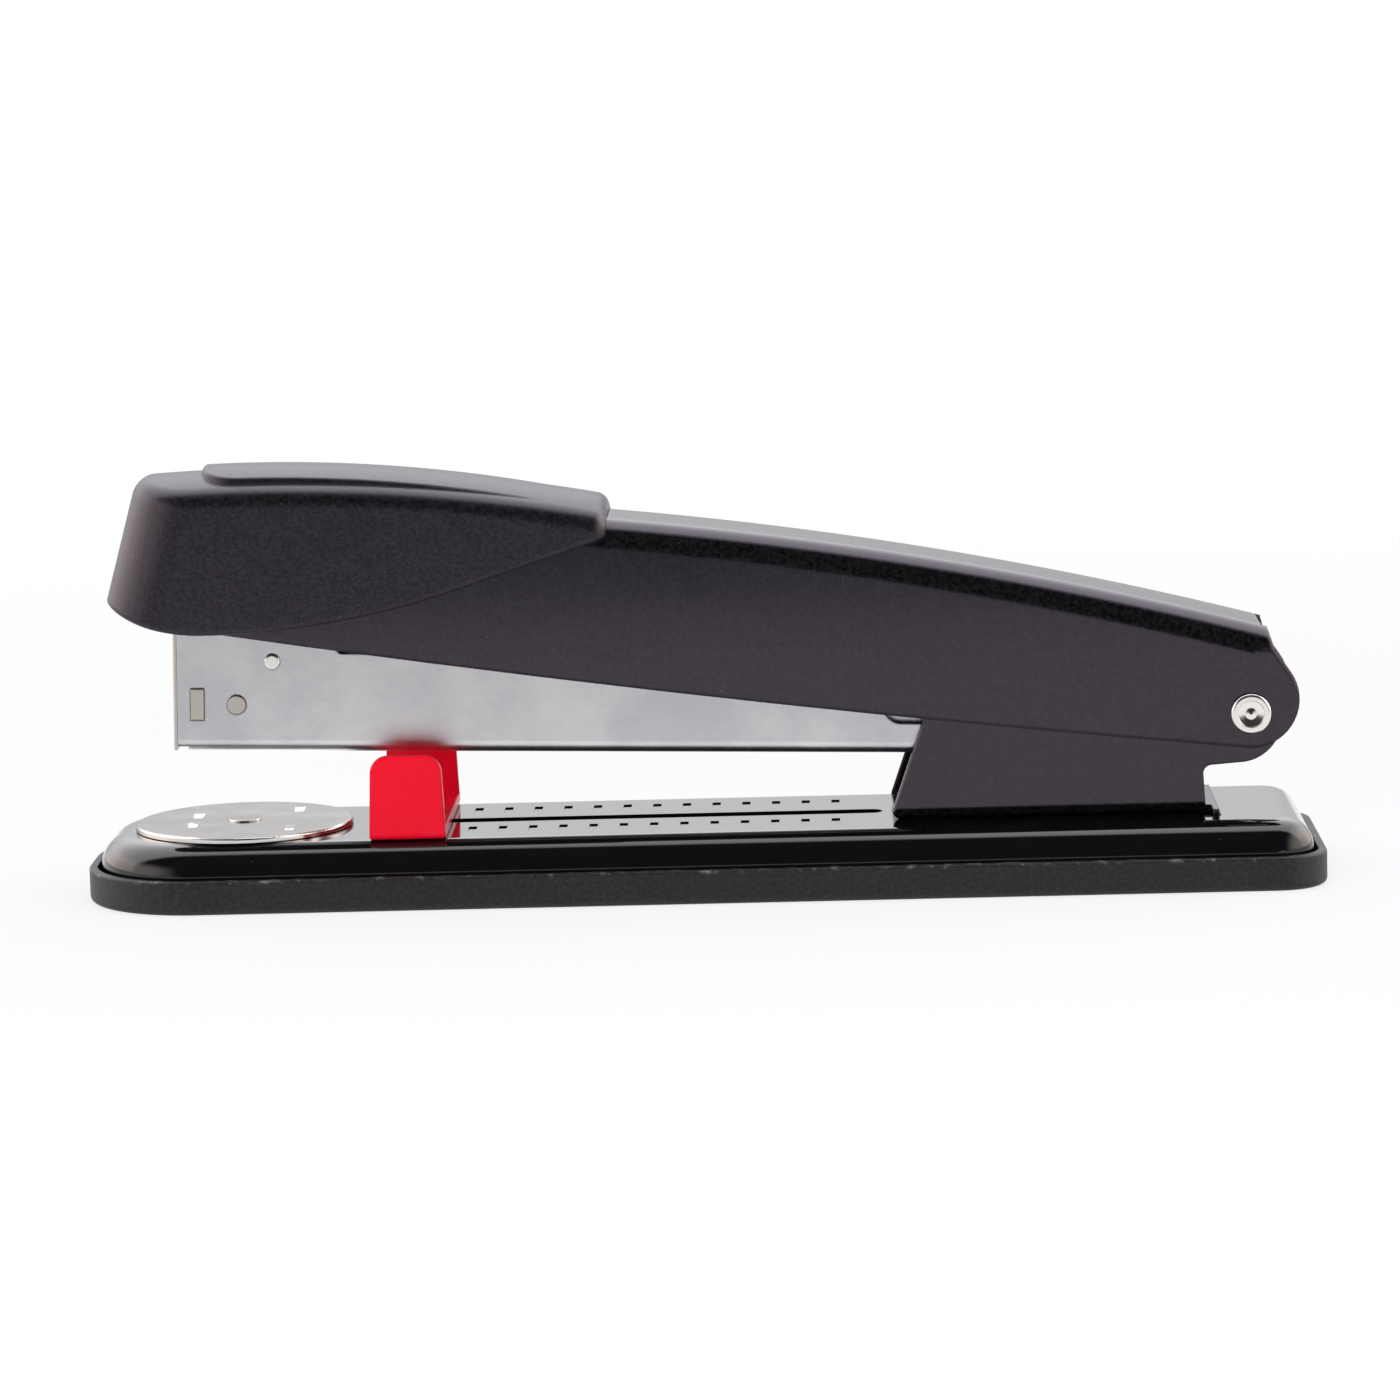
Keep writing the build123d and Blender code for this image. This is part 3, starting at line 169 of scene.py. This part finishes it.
shoe_plastic, shader, place = new_finish("shoe_plastic", Specular_IOR_Level=0.4)
grain = place.noise(2600, 2)
cloud = place.noise(70, 3)
height = place.part(2)
scuff = height.between(SCUFF_START, SCUFF_FULL) * place.noise(420, 4, 0.7).between(0.52, 0.72)
specks = place.noise(2200, 1).between(0.80, 0.84)
speckle = place.noise(1500, 3, 0.7).between(0.35, 0.65)
tone = (cloud * 0.4 + speckle * 0.6).colours(SHOE_DARK, SHOE_PALE)
tone = (scuff * 0.7).tint(tone, SCUFF_GREY)
tone = (specks * 0.35).tint(tone, SPECK_GREY)
feed(shader, Base_Color=tone, Roughness=0.58 - grain * 0.16, Normal=grain.bump(0.35, 0.12 * MM, 0.3 * MM))
wear(shoe_plastic, node["base_shoe"])

# The base is one sheet of steel, pressed into a dish with a round shoulder and dipped in black enamel.
# The enamel sets smooth and mirrors the room, with a little dust in it.
ENAMEL_DARK, ENAMEL_PALE = (0.002, 0.002, 0.003), (0.004, 0.004, 0.005)
DUST_GREY = (0.3, 0.3, 0.3)
enamel, shader, place = new_finish(
    "black_enamel", Specular_IOR_Level=0.05, Coat_Weight=1.0, Coat_Roughness=0.03
)
orange_peel = place.noise(160, 2)
dust = place.noise(2600, 1).between(0.82, 0.85)
tone = (dust * 0.5).tint(orange_peel.colours(ENAMEL_DARK, ENAMEL_PALE), DUST_GREY)
feed(shader, Base_Color=tone, Roughness=0.12 + dust * 0.4, Normal=orange_peel.bump(0.04, 0.2 * MM, 0.15 * MM))
wear(enamel, node["base_plate"])

# The bracket is a folded channel of sheet steel under satin black paint, riveted over the base.
# The paint rounds its cut edges, so that each shows as a bright line.
PAINT_DARK, PAINT_PALE = (0.0, 0.0, 0.0), (0.0085, 0.0085, 0.0095)
PAINT_SHEEN = (1.0, 0.88, 1.06, 1.0)
BRACKET_EDGE = 0.5 * MM


def painted(name, edge):
    """Satin black paint, cloudy and finely speckled, with a little dust; it rounds cut edges over edge."""
    finish, shader, place = new_finish(name, Specular_IOR_Level=0.62, Specular_Tint=PAINT_SHEEN)
    cloud = place.noise(55, 3)
    grain = place.noise(3500, 2)
    dust = place.noise(2400, 1).between(0.81, 0.84)
    speckle = place.noise(1500, 3, 0.7).between(0.35, 0.65)
    tone = (cloud * 0.2 + speckle * 0.8).colours(PAINT_DARK, PAINT_PALE)
    tone = (dust * 0.5).tint(tone, DUST_GREY)
    feed(shader, Base_Color=tone, Roughness=0.09 + cloud * 0.06, Normal=grain.bump(0.04, 0.05 * MM, edge))
    return finish


wear(painted("bracket_paint", BRACKET_EDGE), node["bracket"])

# Rivets, pins and the anvil are turned or stamped from steel and nickel plated.
# The plating is bright, with fine scratches and a slightly warm tone.
ANVIL_DULL, ANVIL_BRIGHT, ANVIL_ALONG = (0.56, 0.54, 0.52), (0.74, 0.73, 0.715), (0.66, 0.65, 0.64)
PIN_DULL, PIN_BRIGHT, PIN_ALONG = (0.78, 0.75, 0.72), (0.93, 0.91, 0.88), (1.0, 1.0, 1.0)


def plated(name, dull, bright, edge_tint):
    """Nickel plating: cloudy between a dull and a bright tone, with fine scratches; edge_tint darkens it
    where it is seen along its face."""
    finish, shader, place = new_finish(name, Metallic=1.0, Specular_Tint=(*edge_tint, 1.0))
    smudge = place.noise(130, 4)
    scratch = place.stretched(60, 900, 60).noise(14, 3)
    feed(
        shader,
        Base_Color=smudge.colours(dull, bright),
        Roughness=0.10 + smudge * 0.16,
        Normal=scratch.bump(0.06, 0.05 * MM, 0.15 * MM),
    )
    return finish


anvil_nickel = plated("anvil_nickel", ANVIL_DULL, ANVIL_BRIGHT, ANVIL_ALONG)
pin_nickel = plated("pin_nickel", PIN_DULL, PIN_BRIGHT, PIN_ALONG)
wear(anvil_nickel, node["anvil_disc"], node["anvil_post"], node["anvil_button"])
wear(
    pin_nickel,
    node["hinge_pin"],
    node["lift_rivet"],
    node["cross_pin"],
    node["guide_rod"],
    node["return_rivet"],
    node["driver_rivets"],
)

# The paper stop is a moulded U of glossy red plastic that slides along the slot in the base.
# A steel retainer under the slot holds it down; the colour goes right through, so it never chips.
RED_DEEP, RED_PALE = (0.70, 0.002, 0.016), (0.78, 0.004, 0.026)
red_plastic, shader, place = new_finish("red_plastic", Specular_IOR_Level=0.15)
cloud = place.noise(90, 2)
ripple = place.noise(350, 2)
feed(
    shader,
    Base_Color=cloud.colours(RED_DEEP, RED_PALE),
    Roughness=0.20 + ripple * 0.12,
    Normal=ripple.bump(0.05, 0.2 * MM, 0.5 * MM),
)
wear(red_plastic, node["paper_stop"])

# The magazine is folded from steel sheet and zinc plated: a cool grey, cloudy plating with drawing marks.
# Rail, pusher, driver blade and the stop's retainer are stamped from the same plated sheet.
ZINC_DULL, ZINC_BRIGHT = (0.60, 0.605, 0.64), (0.80, 0.80, 0.82)
zinc, shader, place = new_finish("zinc_plate", Metallic=1.0)
cloud = place.noise(45, 5, 0.65)
flecks = place.noise(900, 3)
drawn = place.stretched(20, 20, 500).noise(9, 3)
feed(
    shader,
    Base_Color=cloud.between(0.3, 0.7).colours(ZINC_DULL, ZINC_BRIGHT),
    Roughness=0.22 + cloud * 0.14 + flecks * 0.06,
    Normal=(flecks * 0.6 + drawn * 0.4).bump(0.14, 0.08 * MM, 0.3 * MM),
)
wear(
    zinc,
    node["magazine_case"],
    node["staple_rail"],
    node["pusher"],
    node["stop_retainer"],
    node["driver_blade"],
)

# The nose plate is stamped from bare steel and stays a little warmer than the zinc around it.
# Its lug and boss show through the magazine's side.
STEEL_DULL, STEEL_BRIGHT = (0.60, 0.55, 0.50), (0.70, 0.65, 0.60)
bare_steel, shader, place = new_finish("bare_steel", Metallic=1.0)
cloud = place.noise(300, 3)
stamped = place.noise(1500, 3)
tone = cloud.colours(STEEL_DULL, STEEL_BRIGHT)
feed(shader, Base_Color=tone, Roughness=0.30 + cloud * 0.1, Normal=stamped.bump(0.12, 0.05 * MM, 0.2 * MM))
wear(bare_steel, node["nose_plate"])

# Springs: a bowed leaf under the anvil, two leaves of hardened strip riveted at one end, and a long coil
# of wire on the guide rod. The steel is darker than the plated parts, with a faint blue temper colour.
TEMPER_DARK, TEMPER_PALE = (0.25, 0.25, 0.28), (0.40, 0.39, 0.40)
LEAF_WIDTH, LEAF_SHEET = 9.0 * MM, 0.6 * MM
LIFT_LEAF = np.array([[36.895, 11.5], [46.895, 11.5], [64.895, 18.637], [67.895, 17.887]]) * MM
RETURN_LEAF = np.array([[42.42, 27.43], [53.92, 27.12], [69.88, 41.10], [72.36, 40.41]]) * MM
LEAF_BENDS = np.array([3.0, 1.0]) * MM
COIL_FRONT = np.array([-67.19, 0.0, 26.461]) * MM
COIL_REAR = np.array([59.764, 0.0, 23.07]) * MM
COIL_TURNS, COIL_RADIUS, COIL_WIRE = 26, 1.75 * MM, 0.25 * MM
BEND_POINTS, TURN_POINTS, WIRE_POINTS = 9, 20, 8
SHARP_TURN = 0.6


def bent_line(corners, bends):
    """Straight runs between corners, each inner corner replaced by an arc of its own radius.
    The arc starts radius * tan(turn / 2) before the corner and turns evenly from one run to the next."""
    runs = np.diff(corners, axis=0)
    runs /= np.linalg.norm(runs, axis=1)[:, None]
    line = [corners[:1]]
    for corner, before, after, bend in zip(corners[1:-1], runs, runs[1:], bends):
        turn = np.arctan2(before[0] * after[1] - before[1] * after[0], before @ after)
        start = corner - before * bend * abs(np.tan(turn / 2))
        swing = np.linspace(0.0, turn, BEND_POINTS)[:, None]
        left = np.array([-before[1], before[0]]) * np.sign(turn)
        line.append(start + bend * (before * np.sin(abs(swing)) + left * (1.0 - np.cos(swing))))
    return np.concatenate(line + [corners[-1:]])


def placed(name, data):
    """A new object at the origin that holds the data: a mesh, a lamp's light or a camera's lens."""
    piece = bpy.data.objects.new(name, data)
    bpy.context.scene.collection.objects.link(piece)
    return piece


def skin(name, grid, closed):
    """A mesh over a grid of points, each row joined to the next. Closed joins each row to itself as a ring,
    with a lid on the first and the last one; otherwise it is an open sheet."""
    rows, columns = grid.shape[:2]
    here = np.arange(rows * columns).reshape(rows, columns)
    beside = np.roll(here, -1, axis=1)
    quads = np.stack([here[:-1], beside[:-1], beside[1:], here[1:]], axis=-1)
    lids = [here[0, ::-1].tolist(), here[-1].tolist()]
    if not closed:
        quads, lids = quads[:, :-1], []
    mesh = bpy.data.meshes.new(name)
    mesh.from_pydata(grid.reshape(-1, 3), [], quads.reshape(-1, 4).tolist() + lids)
    mesh.shade_smooth()
    mesh.set_sharp_from_angle(angle=SHARP_TURN)
    return placed(name, mesh)


def leaf(name, corners):
    """A strip of sheet along a bent side-view line: at each point a flat ring of eight points with broken
    edges, spread across by half the width and up and down by half the sheet along the line's normal."""
    line = bent_line(corners, LEAF_BENDS)
    along = np.gradient(line, axis=0)
    along /= np.linalg.norm(along, axis=1)[:, None]
    broken = LEAF_SHEET / 6
    half, thick = LEAF_WIDTH / 2, LEAF_SHEET / 2
    inner, low = half - broken, thick - broken
    across = np.array([half, half, inner, -inner, -half, -half, -inner, inner])
    up = np.array([-low, low, thick, thick, low, -low, -thick, -thick])
    x = line[:, :1] - along[:, 1:] * up
    z = line[:, 1:] + along[:, :1] * up
    return skin(name, np.stack([x, np.broadcast_to(across, x.shape), z], axis=-1), True)


def coil(name):
    """A helix of even pitch about the line from its front to its rear end, with a round ring of wire
    at every point, set square to the helix."""
    axis = COIL_REAR - COIL_FRONT
    axis_way = axis / np.linalg.norm(axis)
    side = np.array([0.0, 1.0, 0.0])
    rise = np.cross(axis_way, side)
    share = np.linspace(0.0, 1.0, COIL_TURNS * TURN_POINTS + 1)[:, None]
    angle = 2 * np.pi * COIL_TURNS * share
    out = np.cos(angle) * side + np.sin(angle) * rise
    centre = COIL_FRONT + share * axis + COIL_RADIUS * out
    along = np.gradient(centre, axis=0)
    along /= np.linalg.norm(along, axis=1)[:, None]
    square = np.cross(along, out)
    around = np.linspace(0.0, 2 * np.pi, WIRE_POINTS, endpoint=False)[None, :, None]
    ring = np.cos(around) * out[:, None] + np.sin(around) * square[:, None]
    return skin(name, centre[:, None] + COIL_WIRE * ring, True)


spring_steel, shader, place = new_finish("spring_steel", Metallic=1.0)
cloud = place.noise(160, 3)
rolled = place.stretched(4, 60, 4).noise(40, 3)
tone = cloud.colours(TEMPER_DARK, TEMPER_PALE)
feed(shader, Base_Color=tone, Roughness=0.28 + cloud * 0.12, Normal=rolled.bump(0.05, 0.04 * MM, 0.1 * MM))
lift_leaf = leaf("lift_leaf", LIFT_LEAF)
return_leaf = leaf("return_leaf", RETURN_LEAF)
pusher_coil = coil("pusher_coil")
wear(spring_steel, node["anvil_spring"], lift_leaf, return_leaf, pusher_coil)
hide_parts("lift_spring")
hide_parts("return_spring")
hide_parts("pusher_spring")
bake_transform(lift_leaf)
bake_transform(return_leaf)
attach(pusher_coil, "magazine")
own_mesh(pusher_coil)

# The cover is the arm that is pressed by hand: sheet steel drawn in a press and painted like the bracket.
# The press leaves an even round shoulder between its bowed top and its sides, from the nose to the hinge.
COVER_NOSE = np.array([-163.0, 35.8]) * MM
COVER_TAIL = np.array([3.8, 12.75]) * MM
COVER_CROWN, COVER_SHOULDER, COVER_HALF, COVER_EDGE = 5.6 * MM, 4.2 * MM, 10.25 * MM, 1.1 * MM
SKIN_TOLERANCE = 0.08 * MM
PAINT_FRONT, PAINT_REAR, PAINT_LIFT = -105.0 * MM, 1.6 * MM, 0.02 * MM
PAINT_ROWS, SHOULDER_POINTS = 108, 19


def crown_arc(front, rear, rise):
    """Centre and radius, in the side view, of the arc that rises by rise over the line from front to rear."""
    chord = rear - front
    length = np.linalg.norm(chord)
    radius = (length**2 / 4 + rise**2) / (2 * rise)
    below = np.array([chord[1], -chord[0]]) / length
    return (front + rear) / 2 + below * (radius - rise), radius


def mesh_arrays(mesh):
    """The vertices' places, the vertex of each face corner, and each face corner's normal."""
    places = np.empty(len(mesh.vertices) * 3)
    mesh.vertices.foreach_get("co", places)
    corners = np.empty(len(mesh.loops), int)
    mesh.loops.foreach_get("vertex_index", corners)
    normals = np.empty(len(mesh.loops) * 3)
    mesh.corner_normals.foreach_get("vector", normals)
    return places.reshape(-1, 3), corners, normals.reshape(-1, 3)


def pressed_skin(name, source, hinge):
    """A copy of the cover's mesh whose outer skin is shaded as the press leaves it. Its top is an arc that
    rises by the crown over the line from nose to tail. A corner's normal is how far it lies beyond the
    shoulder's centre line, outwards along the arc's radius and sideways, scaled to a length of one."""
    centre, radius = crown_arc(hinge + COVER_NOSE, hinge + COVER_TAIL, COVER_CROWN)
    mesh = source.data.copy()
    mesh.name = name
    places, corners, normals = mesh_arrays(mesh)
    x, y, z = places[corners].T
    out = np.stack([x - centre[0], z - centre[1]])
    reach = np.linalg.norm(out, axis=0)
    up = np.maximum(reach - radius + COVER_SHOULDER, 0.0)
    side = np.maximum(abs(y) - COVER_HALF + COVER_SHOULDER, 0.0)
    beyond = np.maximum(np.hypot(up, side), SKIN_TOLERANCE)
    even = np.stack([up * out[0] / reach, side * np.sign(y), up * out[1] / reach], axis=1) / beyond[:, None]
    on_skin = (abs(beyond - COVER_SHOULDER) < SKIN_TOLERANCE) & ((even * normals).sum(axis=1) > 0.5)
    mesh.normals_split_custom_set(np.where(on_skin[:, None], even, normals).tolist())
    return placed(name, mesh)


def paint_sheet(name, hinge):
    """The film of paint over the cover's top and shoulders, an open sheet. Its columns are points of a
    section: a quarter round of the shoulder's radius on each side, with the flat top between them. Its rows
    turn that section about the centre of the crown's arc, from the tail to under the cap."""
    centre, radius = crown_arc(hinge + COVER_NOSE, hinge + COVER_TAIL, COVER_CROWN)
    quarter = np.linspace(0.0, np.pi / 2, SHOULDER_POINTS)
    flank = np.repeat([-1.0, 1.0], SHOULDER_POINTS)
    side = np.concatenate([-np.cos(quarter), np.cos(quarter)[::-1]])
    up = np.concatenate([np.sin(quarter), np.sin(quarter)[::-1]])
    across = (COVER_HALF - COVER_SHOULDER) * flank + (COVER_SHOULDER + PAINT_LIFT) * side
    reach = radius - COVER_SHOULDER + (COVER_SHOULDER + PAINT_LIFT) * up
    lean = (np.linspace(PAINT_REAR, PAINT_FRONT, PAINT_ROWS)[:, None] + hinge[0] - centre[0]) / radius
    x = centre[0] + reach * lean
    z = centre[1] + reach * np.sqrt(1.0 - lean**2)
    return skin(name, np.stack([x, np.broadcast_to(across, x.shape), z], axis=-1), False)


pin_low, pin_high = (np.array(corner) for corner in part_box("hinge_pin"))
hinge = ((pin_low + pin_high) / 2)[[0, 2]]
cover_skin = pressed_skin("cover_skin", node["cover"], hinge)
cover_film = paint_sheet("cover_film", hinge)
wear(painted("cover_paint", COVER_EDGE), cover_skin, cover_film)
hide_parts("cover")
for piece in (cover_skin, cover_film):
    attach(piece, "cover")

# The cap is a moulded hood of matt black plastic with a fine spark-eroded grain, clipped over the cover.
# Its top is crowned along and arched across, and its rear runs round a heel down onto the cover's back.
CAP_DARK, CAP_PALE, CAP_SHEEN = (0.0, 0.0, 0.0), (0.0115, 0.0105, 0.0125), (1.0, 0.9, 1.08, 1.0)
CAP_FRONT = np.array([-171.2, 39.9]) * MM
CAP_REAR = np.array([-98.4, 35.1]) * MM
CAP_CROWN, CAP_ARCH, CAP_FIT = 2.4 * MM, 32.0 * MM, 0.1 * MM
HEEL_ROUND, HEEL_HALF, HEEL_LENGTH = 2.2 * MM, 6.5 * MM, 27.3 * MM
HEEL_COLUMNS, HEEL_TURN_ROWS, HEEL_FLOOR_ROWS = 27, 25, 13
SLOT_ROOF, ROOF_TOLERANCE = 34.609 * MM, 0.01 * MM


def slotless(name, source, hinge):
    """A copy of the cap's mesh without the roof and the walls of the slot that the heel fills: those are
    the triangles with all three corners in the slot's box."""
    places, corners, normals = mesh_arrays(source.data)
    triangles = corners.reshape(-1, 3)
    x, y, z = np.moveaxis(places[triangles], 2, 0)
    inside = (x > hinge[0] + CAP_REAR[0] - HEEL_LENGTH) & (abs(y) < HEEL_HALF + SKIN_TOLERANCE)
    inside &= z < hinge[1] + SLOT_ROOF + ROOF_TOLERANCE
    kept = ~inside.all(axis=1)
    used, faces = np.unique(triangles[kept], return_inverse=True)
    mesh = bpy.data.meshes.new(name)
    mesh.from_pydata(places[used], [], faces.reshape(-1, 3).tolist())
    mesh.shade_smooth()
    mesh.normals_split_custom_set(normals.reshape(-1, 3, 3)[kept].reshape(-1, 3).tolist())
    return placed(name, mesh)


def heel(name, hinge):
    """An open sheet whose columns are side views of the heel. A column turns on the heel's radius from the
    slot's roof to the upright rear, drops to the cover's back and runs forward a fit above its arc. The
    turn's centre lies a heel radius inside the rear and inside the top, and the top sinks by its arch."""
    across = np.linspace(HEEL_HALF, -HEEL_HALF, HEEL_COLUMNS)
    centre, radius = crown_arc(CAP_FRONT, CAP_REAR, CAP_CROWN)
    sunk = CAP_ARCH - np.sqrt(CAP_ARCH**2 - across**2)
    turn_x = CAP_REAR[0] - HEEL_ROUND
    turn_z = centre[1] + np.sqrt((radius - sunk - HEEL_ROUND) ** 2 - (turn_x - centre[0]) ** 2)
    turn = np.linspace(1.0, 0.0, HEEL_TURN_ROWS)[:, None] * np.arcsin((SLOT_ROOF - turn_z) / HEEL_ROUND)
    back, back_radius = crown_arc(COVER_NOSE, COVER_TAIL, COVER_CROWN)
    forward = np.linspace(0.0, HEEL_LENGTH, HEEL_FLOOR_ROWS)[:, None]
    run = np.repeat(CAP_REAR[0] - forward, HEEL_COLUMNS, axis=1)
    floor_z = back[1] + np.sqrt((back_radius + CAP_FIT) ** 2 - (run - back[0]) ** 2)
    x = hinge[0] + np.concatenate([turn_x + HEEL_ROUND * np.cos(turn), run])
    z = hinge[1] + np.concatenate([turn_z + HEEL_ROUND * np.sin(turn), floor_z])
    return skin(name, np.stack([x, np.broadcast_to(across, x.shape), z], axis=-1), False)


cap_plastic, shader, place = new_finish("cap_plastic", Specular_IOR_Level=0.55, Specular_Tint=CAP_SHEEN)
grain = place.noise(2600, 2)
cloud = place.noise(60, 2)
dust = place.noise(2200, 1).between(0.81, 0.84)
speckle = place.noise(1500, 3, 0.7).between(0.35, 0.65)
tone = (cloud * 0.2 + speckle * 0.8).colours(CAP_DARK, CAP_PALE)
tone = (dust * 0.5).tint(tone, DUST_GREY)
feed(shader, Base_Color=tone, Roughness=0.40 - grain * 0.12, Normal=grain.bump(0.22, 0.1 * MM, 0.9 * MM))
cap_hood = slotless("cap_hood", node["head_cap"], hinge)
cap_heel = heel("cap_heel", hinge)
wear(cap_plastic, cap_hood, cap_heel)
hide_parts("head_cap")
for piece in (cap_hood, cap_heel):
    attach(piece, "cover")

# The table is a white sheet that runs out of sight on every side. It keeps a soft shadow under the stapler
# and shows pale in the enamel.
# Towards the camera it is painted near black and glows dimmer in the gloss: painted shade standing in for the
# dim room in front, seen in reflections.
FLOOR_REACH = 30.0
NEAR_PAINTED_SHADE, PAPER_TONE = (0.02, 0.02, 0.02), (0.85, 0.85, 0.85)
FLOOR_GLOW, NEAR_SHADE_GLOW = 0.75, 0.3
NEAR_EDGE, SHADOW_REACH = (-0.39, -0.31), (0.12, 0.5)
corners = FLOOR_REACH * np.array([[-1, -1, 0], [1, -1, 0], [1, 1, 0], [-1, 1, 0]], float)
floor_mesh = bpy.data.meshes.new("floor")
floor_mesh.from_pydata(corners, [], [(0, 1, 2, 3)])
floor = placed("floor", floor_mesh)
floor_paper, shader, place = new_finish("floor_paper", Roughness=0.9, Specular_IOR_Level=0.0)
# Painted shade: towards the camera the floor's colour turns near black, and glossy rays see it glow only
# dimly there.
near = place.part(1).between(*NEAR_EDGE)
far = place.node("ShaderNodeVectorMath", {"operation": "LENGTH"}, {0: place}, 1).between(*SHADOW_REACH)
feed(shader, Base_Color=near.colours(NEAR_PAINTED_SHADE, PAPER_TONE))
tree = floor_paper.node_tree
rays = tree.nodes.new("ShaderNodeLightPath")
seen = Signal(rays.outputs["Is Camera Ray"])
shiny = Signal(rays.outputs["Is Glossy Ray"])
white = FLOOR_GLOW + far * (1.0 - FLOOR_GLOW)
share = seen * white + shiny * (NEAR_SHADE_GLOW + near * (white - NEAR_SHADE_GLOW))
glow = tree.nodes.new("ShaderNodeEmission")
shades = {0: share, 1: Signal(shader.outputs[0]), 2: Signal(glow.outputs[0])}
paper = seen.node("ShaderNodeMixShader", {}, shades)
tree.links.new(paper.socket, tree.nodes["Material Output"].inputs["Surface"])
wear(floor_paper, floor)

# The studio has a white wall behind the table, a window on each side and a dim room in front.
# Two soft lamps, one low in front and one overhead, light the stapler without showing in its gloss.
WALL_GLOW, WALL_RISE, WALL_SLOPE = 0.66, 1.7, 0.5
LEFT_GLOW, RIGHT_GLOW, ROOM_GLOW = 1.8, 2.4, 0.04
DULL_SHARE = 0.4
WALL_LIGHT, WINDOW_LIGHT, WHITE = (0.97, 0.975, 1.0), (1.0, 0.84, 0.76), (1.0, 1.0, 1.0)
LAMP_AIM = np.array([0.0, 0.0, 0.03])
world = bpy.data.worlds.new("studio")
bpy.context.scene.world = world
world.use_nodes = True
tree = world.node_tree
background = tree.nodes["Background"]
way = Signal(tree.nodes.new("ShaderNodeTexCoord").outputs["Generated"])
rays = tree.nodes.new("ShaderNodeLightPath")
seen = Signal(rays.outputs["Is Camera Ray"])
shiny = Signal(rays.outputs["Is Glossy Ray"])
height = way.part(2)
behind = way.part(1).between(-0.25, -0.05)
wall = behind * (WALL_GLOW + height.between(0.05, 0.6) * WALL_RISE + height * WALL_SLOPE)
sideways = way.part(0)
left_window = (0.0 - sideways).between(0.35, 0.9) * (1.0 - height.between(0.3, 0.6))
right_window = sideways.between(0.45, 0.9) * height.between(-0.2, 0.1)
windows = left_window * LEFT_GLOW + right_window * RIGHT_GLOW
room = (ROOM_GLOW + wall + windows) * (DULL_SHARE + shiny * (1.0 - DULL_SHARE))
light = (windows * 0.4).colours(WALL_LIGHT, WINDOW_LIGHT)
tree.links.new(seen.tint(light, WHITE).socket, background.inputs["Color"])
tree.links.new((seen + (1.0 - seen) * room).socket, background.inputs["Strength"])


def lamp(name, place, width, height, watts):
    """A rectangular soft lamp at place, turned to the stapler's middle. Neither gloss nor camera shows it."""
    light = bpy.data.lights.new(name, "AREA")
    light.shape = "RECTANGLE"
    light.size = width
    light.size_y = height
    light.energy = watts
    lamp_object = placed(name, light)
    back = np.array(place) - LAMP_AIM
    back /= np.linalg.norm(back)
    right = np.cross((0.0, 0.0, 1.0), back)
    right /= np.linalg.norm(right)
    up = np.cross(back, right)
    turn = np.eye(4)
    turn[:3, :3] = np.stack([right, up, back], axis=1)
    turn[:3, 3] = place
    lamp_object.matrix_world = Matrix(turn)
    lamp_object.visible_glossy = False
    lamp_object.visible_camera = False


lamp("key_lamp", (-0.25, -1.0, 0.18), width=0.9, height=0.3, watts=7.0)
lamp("top_lamp", (0.0, -0.25, 1.0), width=0.8, height=0.5, watts=4.0)

# The camera stands in front of the stapler and a little above it, at the photograph's viewing angle.
# A long lens keeps the lines almost parallel, and the horizon leans by a degree and a half.
CAMERA_PLACE = np.array([20.5, -821.5, 150.8]) * MM
YAW, PITCH, ROLL = np.radians([1.433, -8.473, 1.574])
FOCAL_PIXELS, FRAME_PIXELS, SENSOR = 5324.7, 1400.0, 36.0
turn_z = np.array([[np.cos(YAW), -np.sin(YAW), 0], [np.sin(YAW), np.cos(YAW), 0], [0, 0, 1]])
turn_x = np.array([[1, 0, 0], [0, np.cos(PITCH), -np.sin(PITCH)], [0, np.sin(PITCH), np.cos(PITCH)]])
turn_y = np.array([[np.cos(ROLL), 0, np.sin(ROLL)], [0, 1, 0], [-np.sin(ROLL), 0, np.cos(ROLL)]])
axes = turn_z @ turn_x @ turn_y
camera_data = bpy.data.cameras.new("camera")
camera_data.sensor_width = SENSOR
camera_data.lens = FOCAL_PIXELS / FRAME_PIXELS * SENSOR
camera = placed("camera", camera_data)
stand = np.eye(4)
stand[:3, 0], stand[:3, 1], stand[:3, 2] = axes[:, 0], axes[:, 2], -axes[:, 1]
stand[:3, 3] = CAMERA_PLACE
camera.matrix_world = Matrix(stand)
bpy.context.scene.camera = camera
bpy.context.scene.view_settings.view_transform = "Standard"
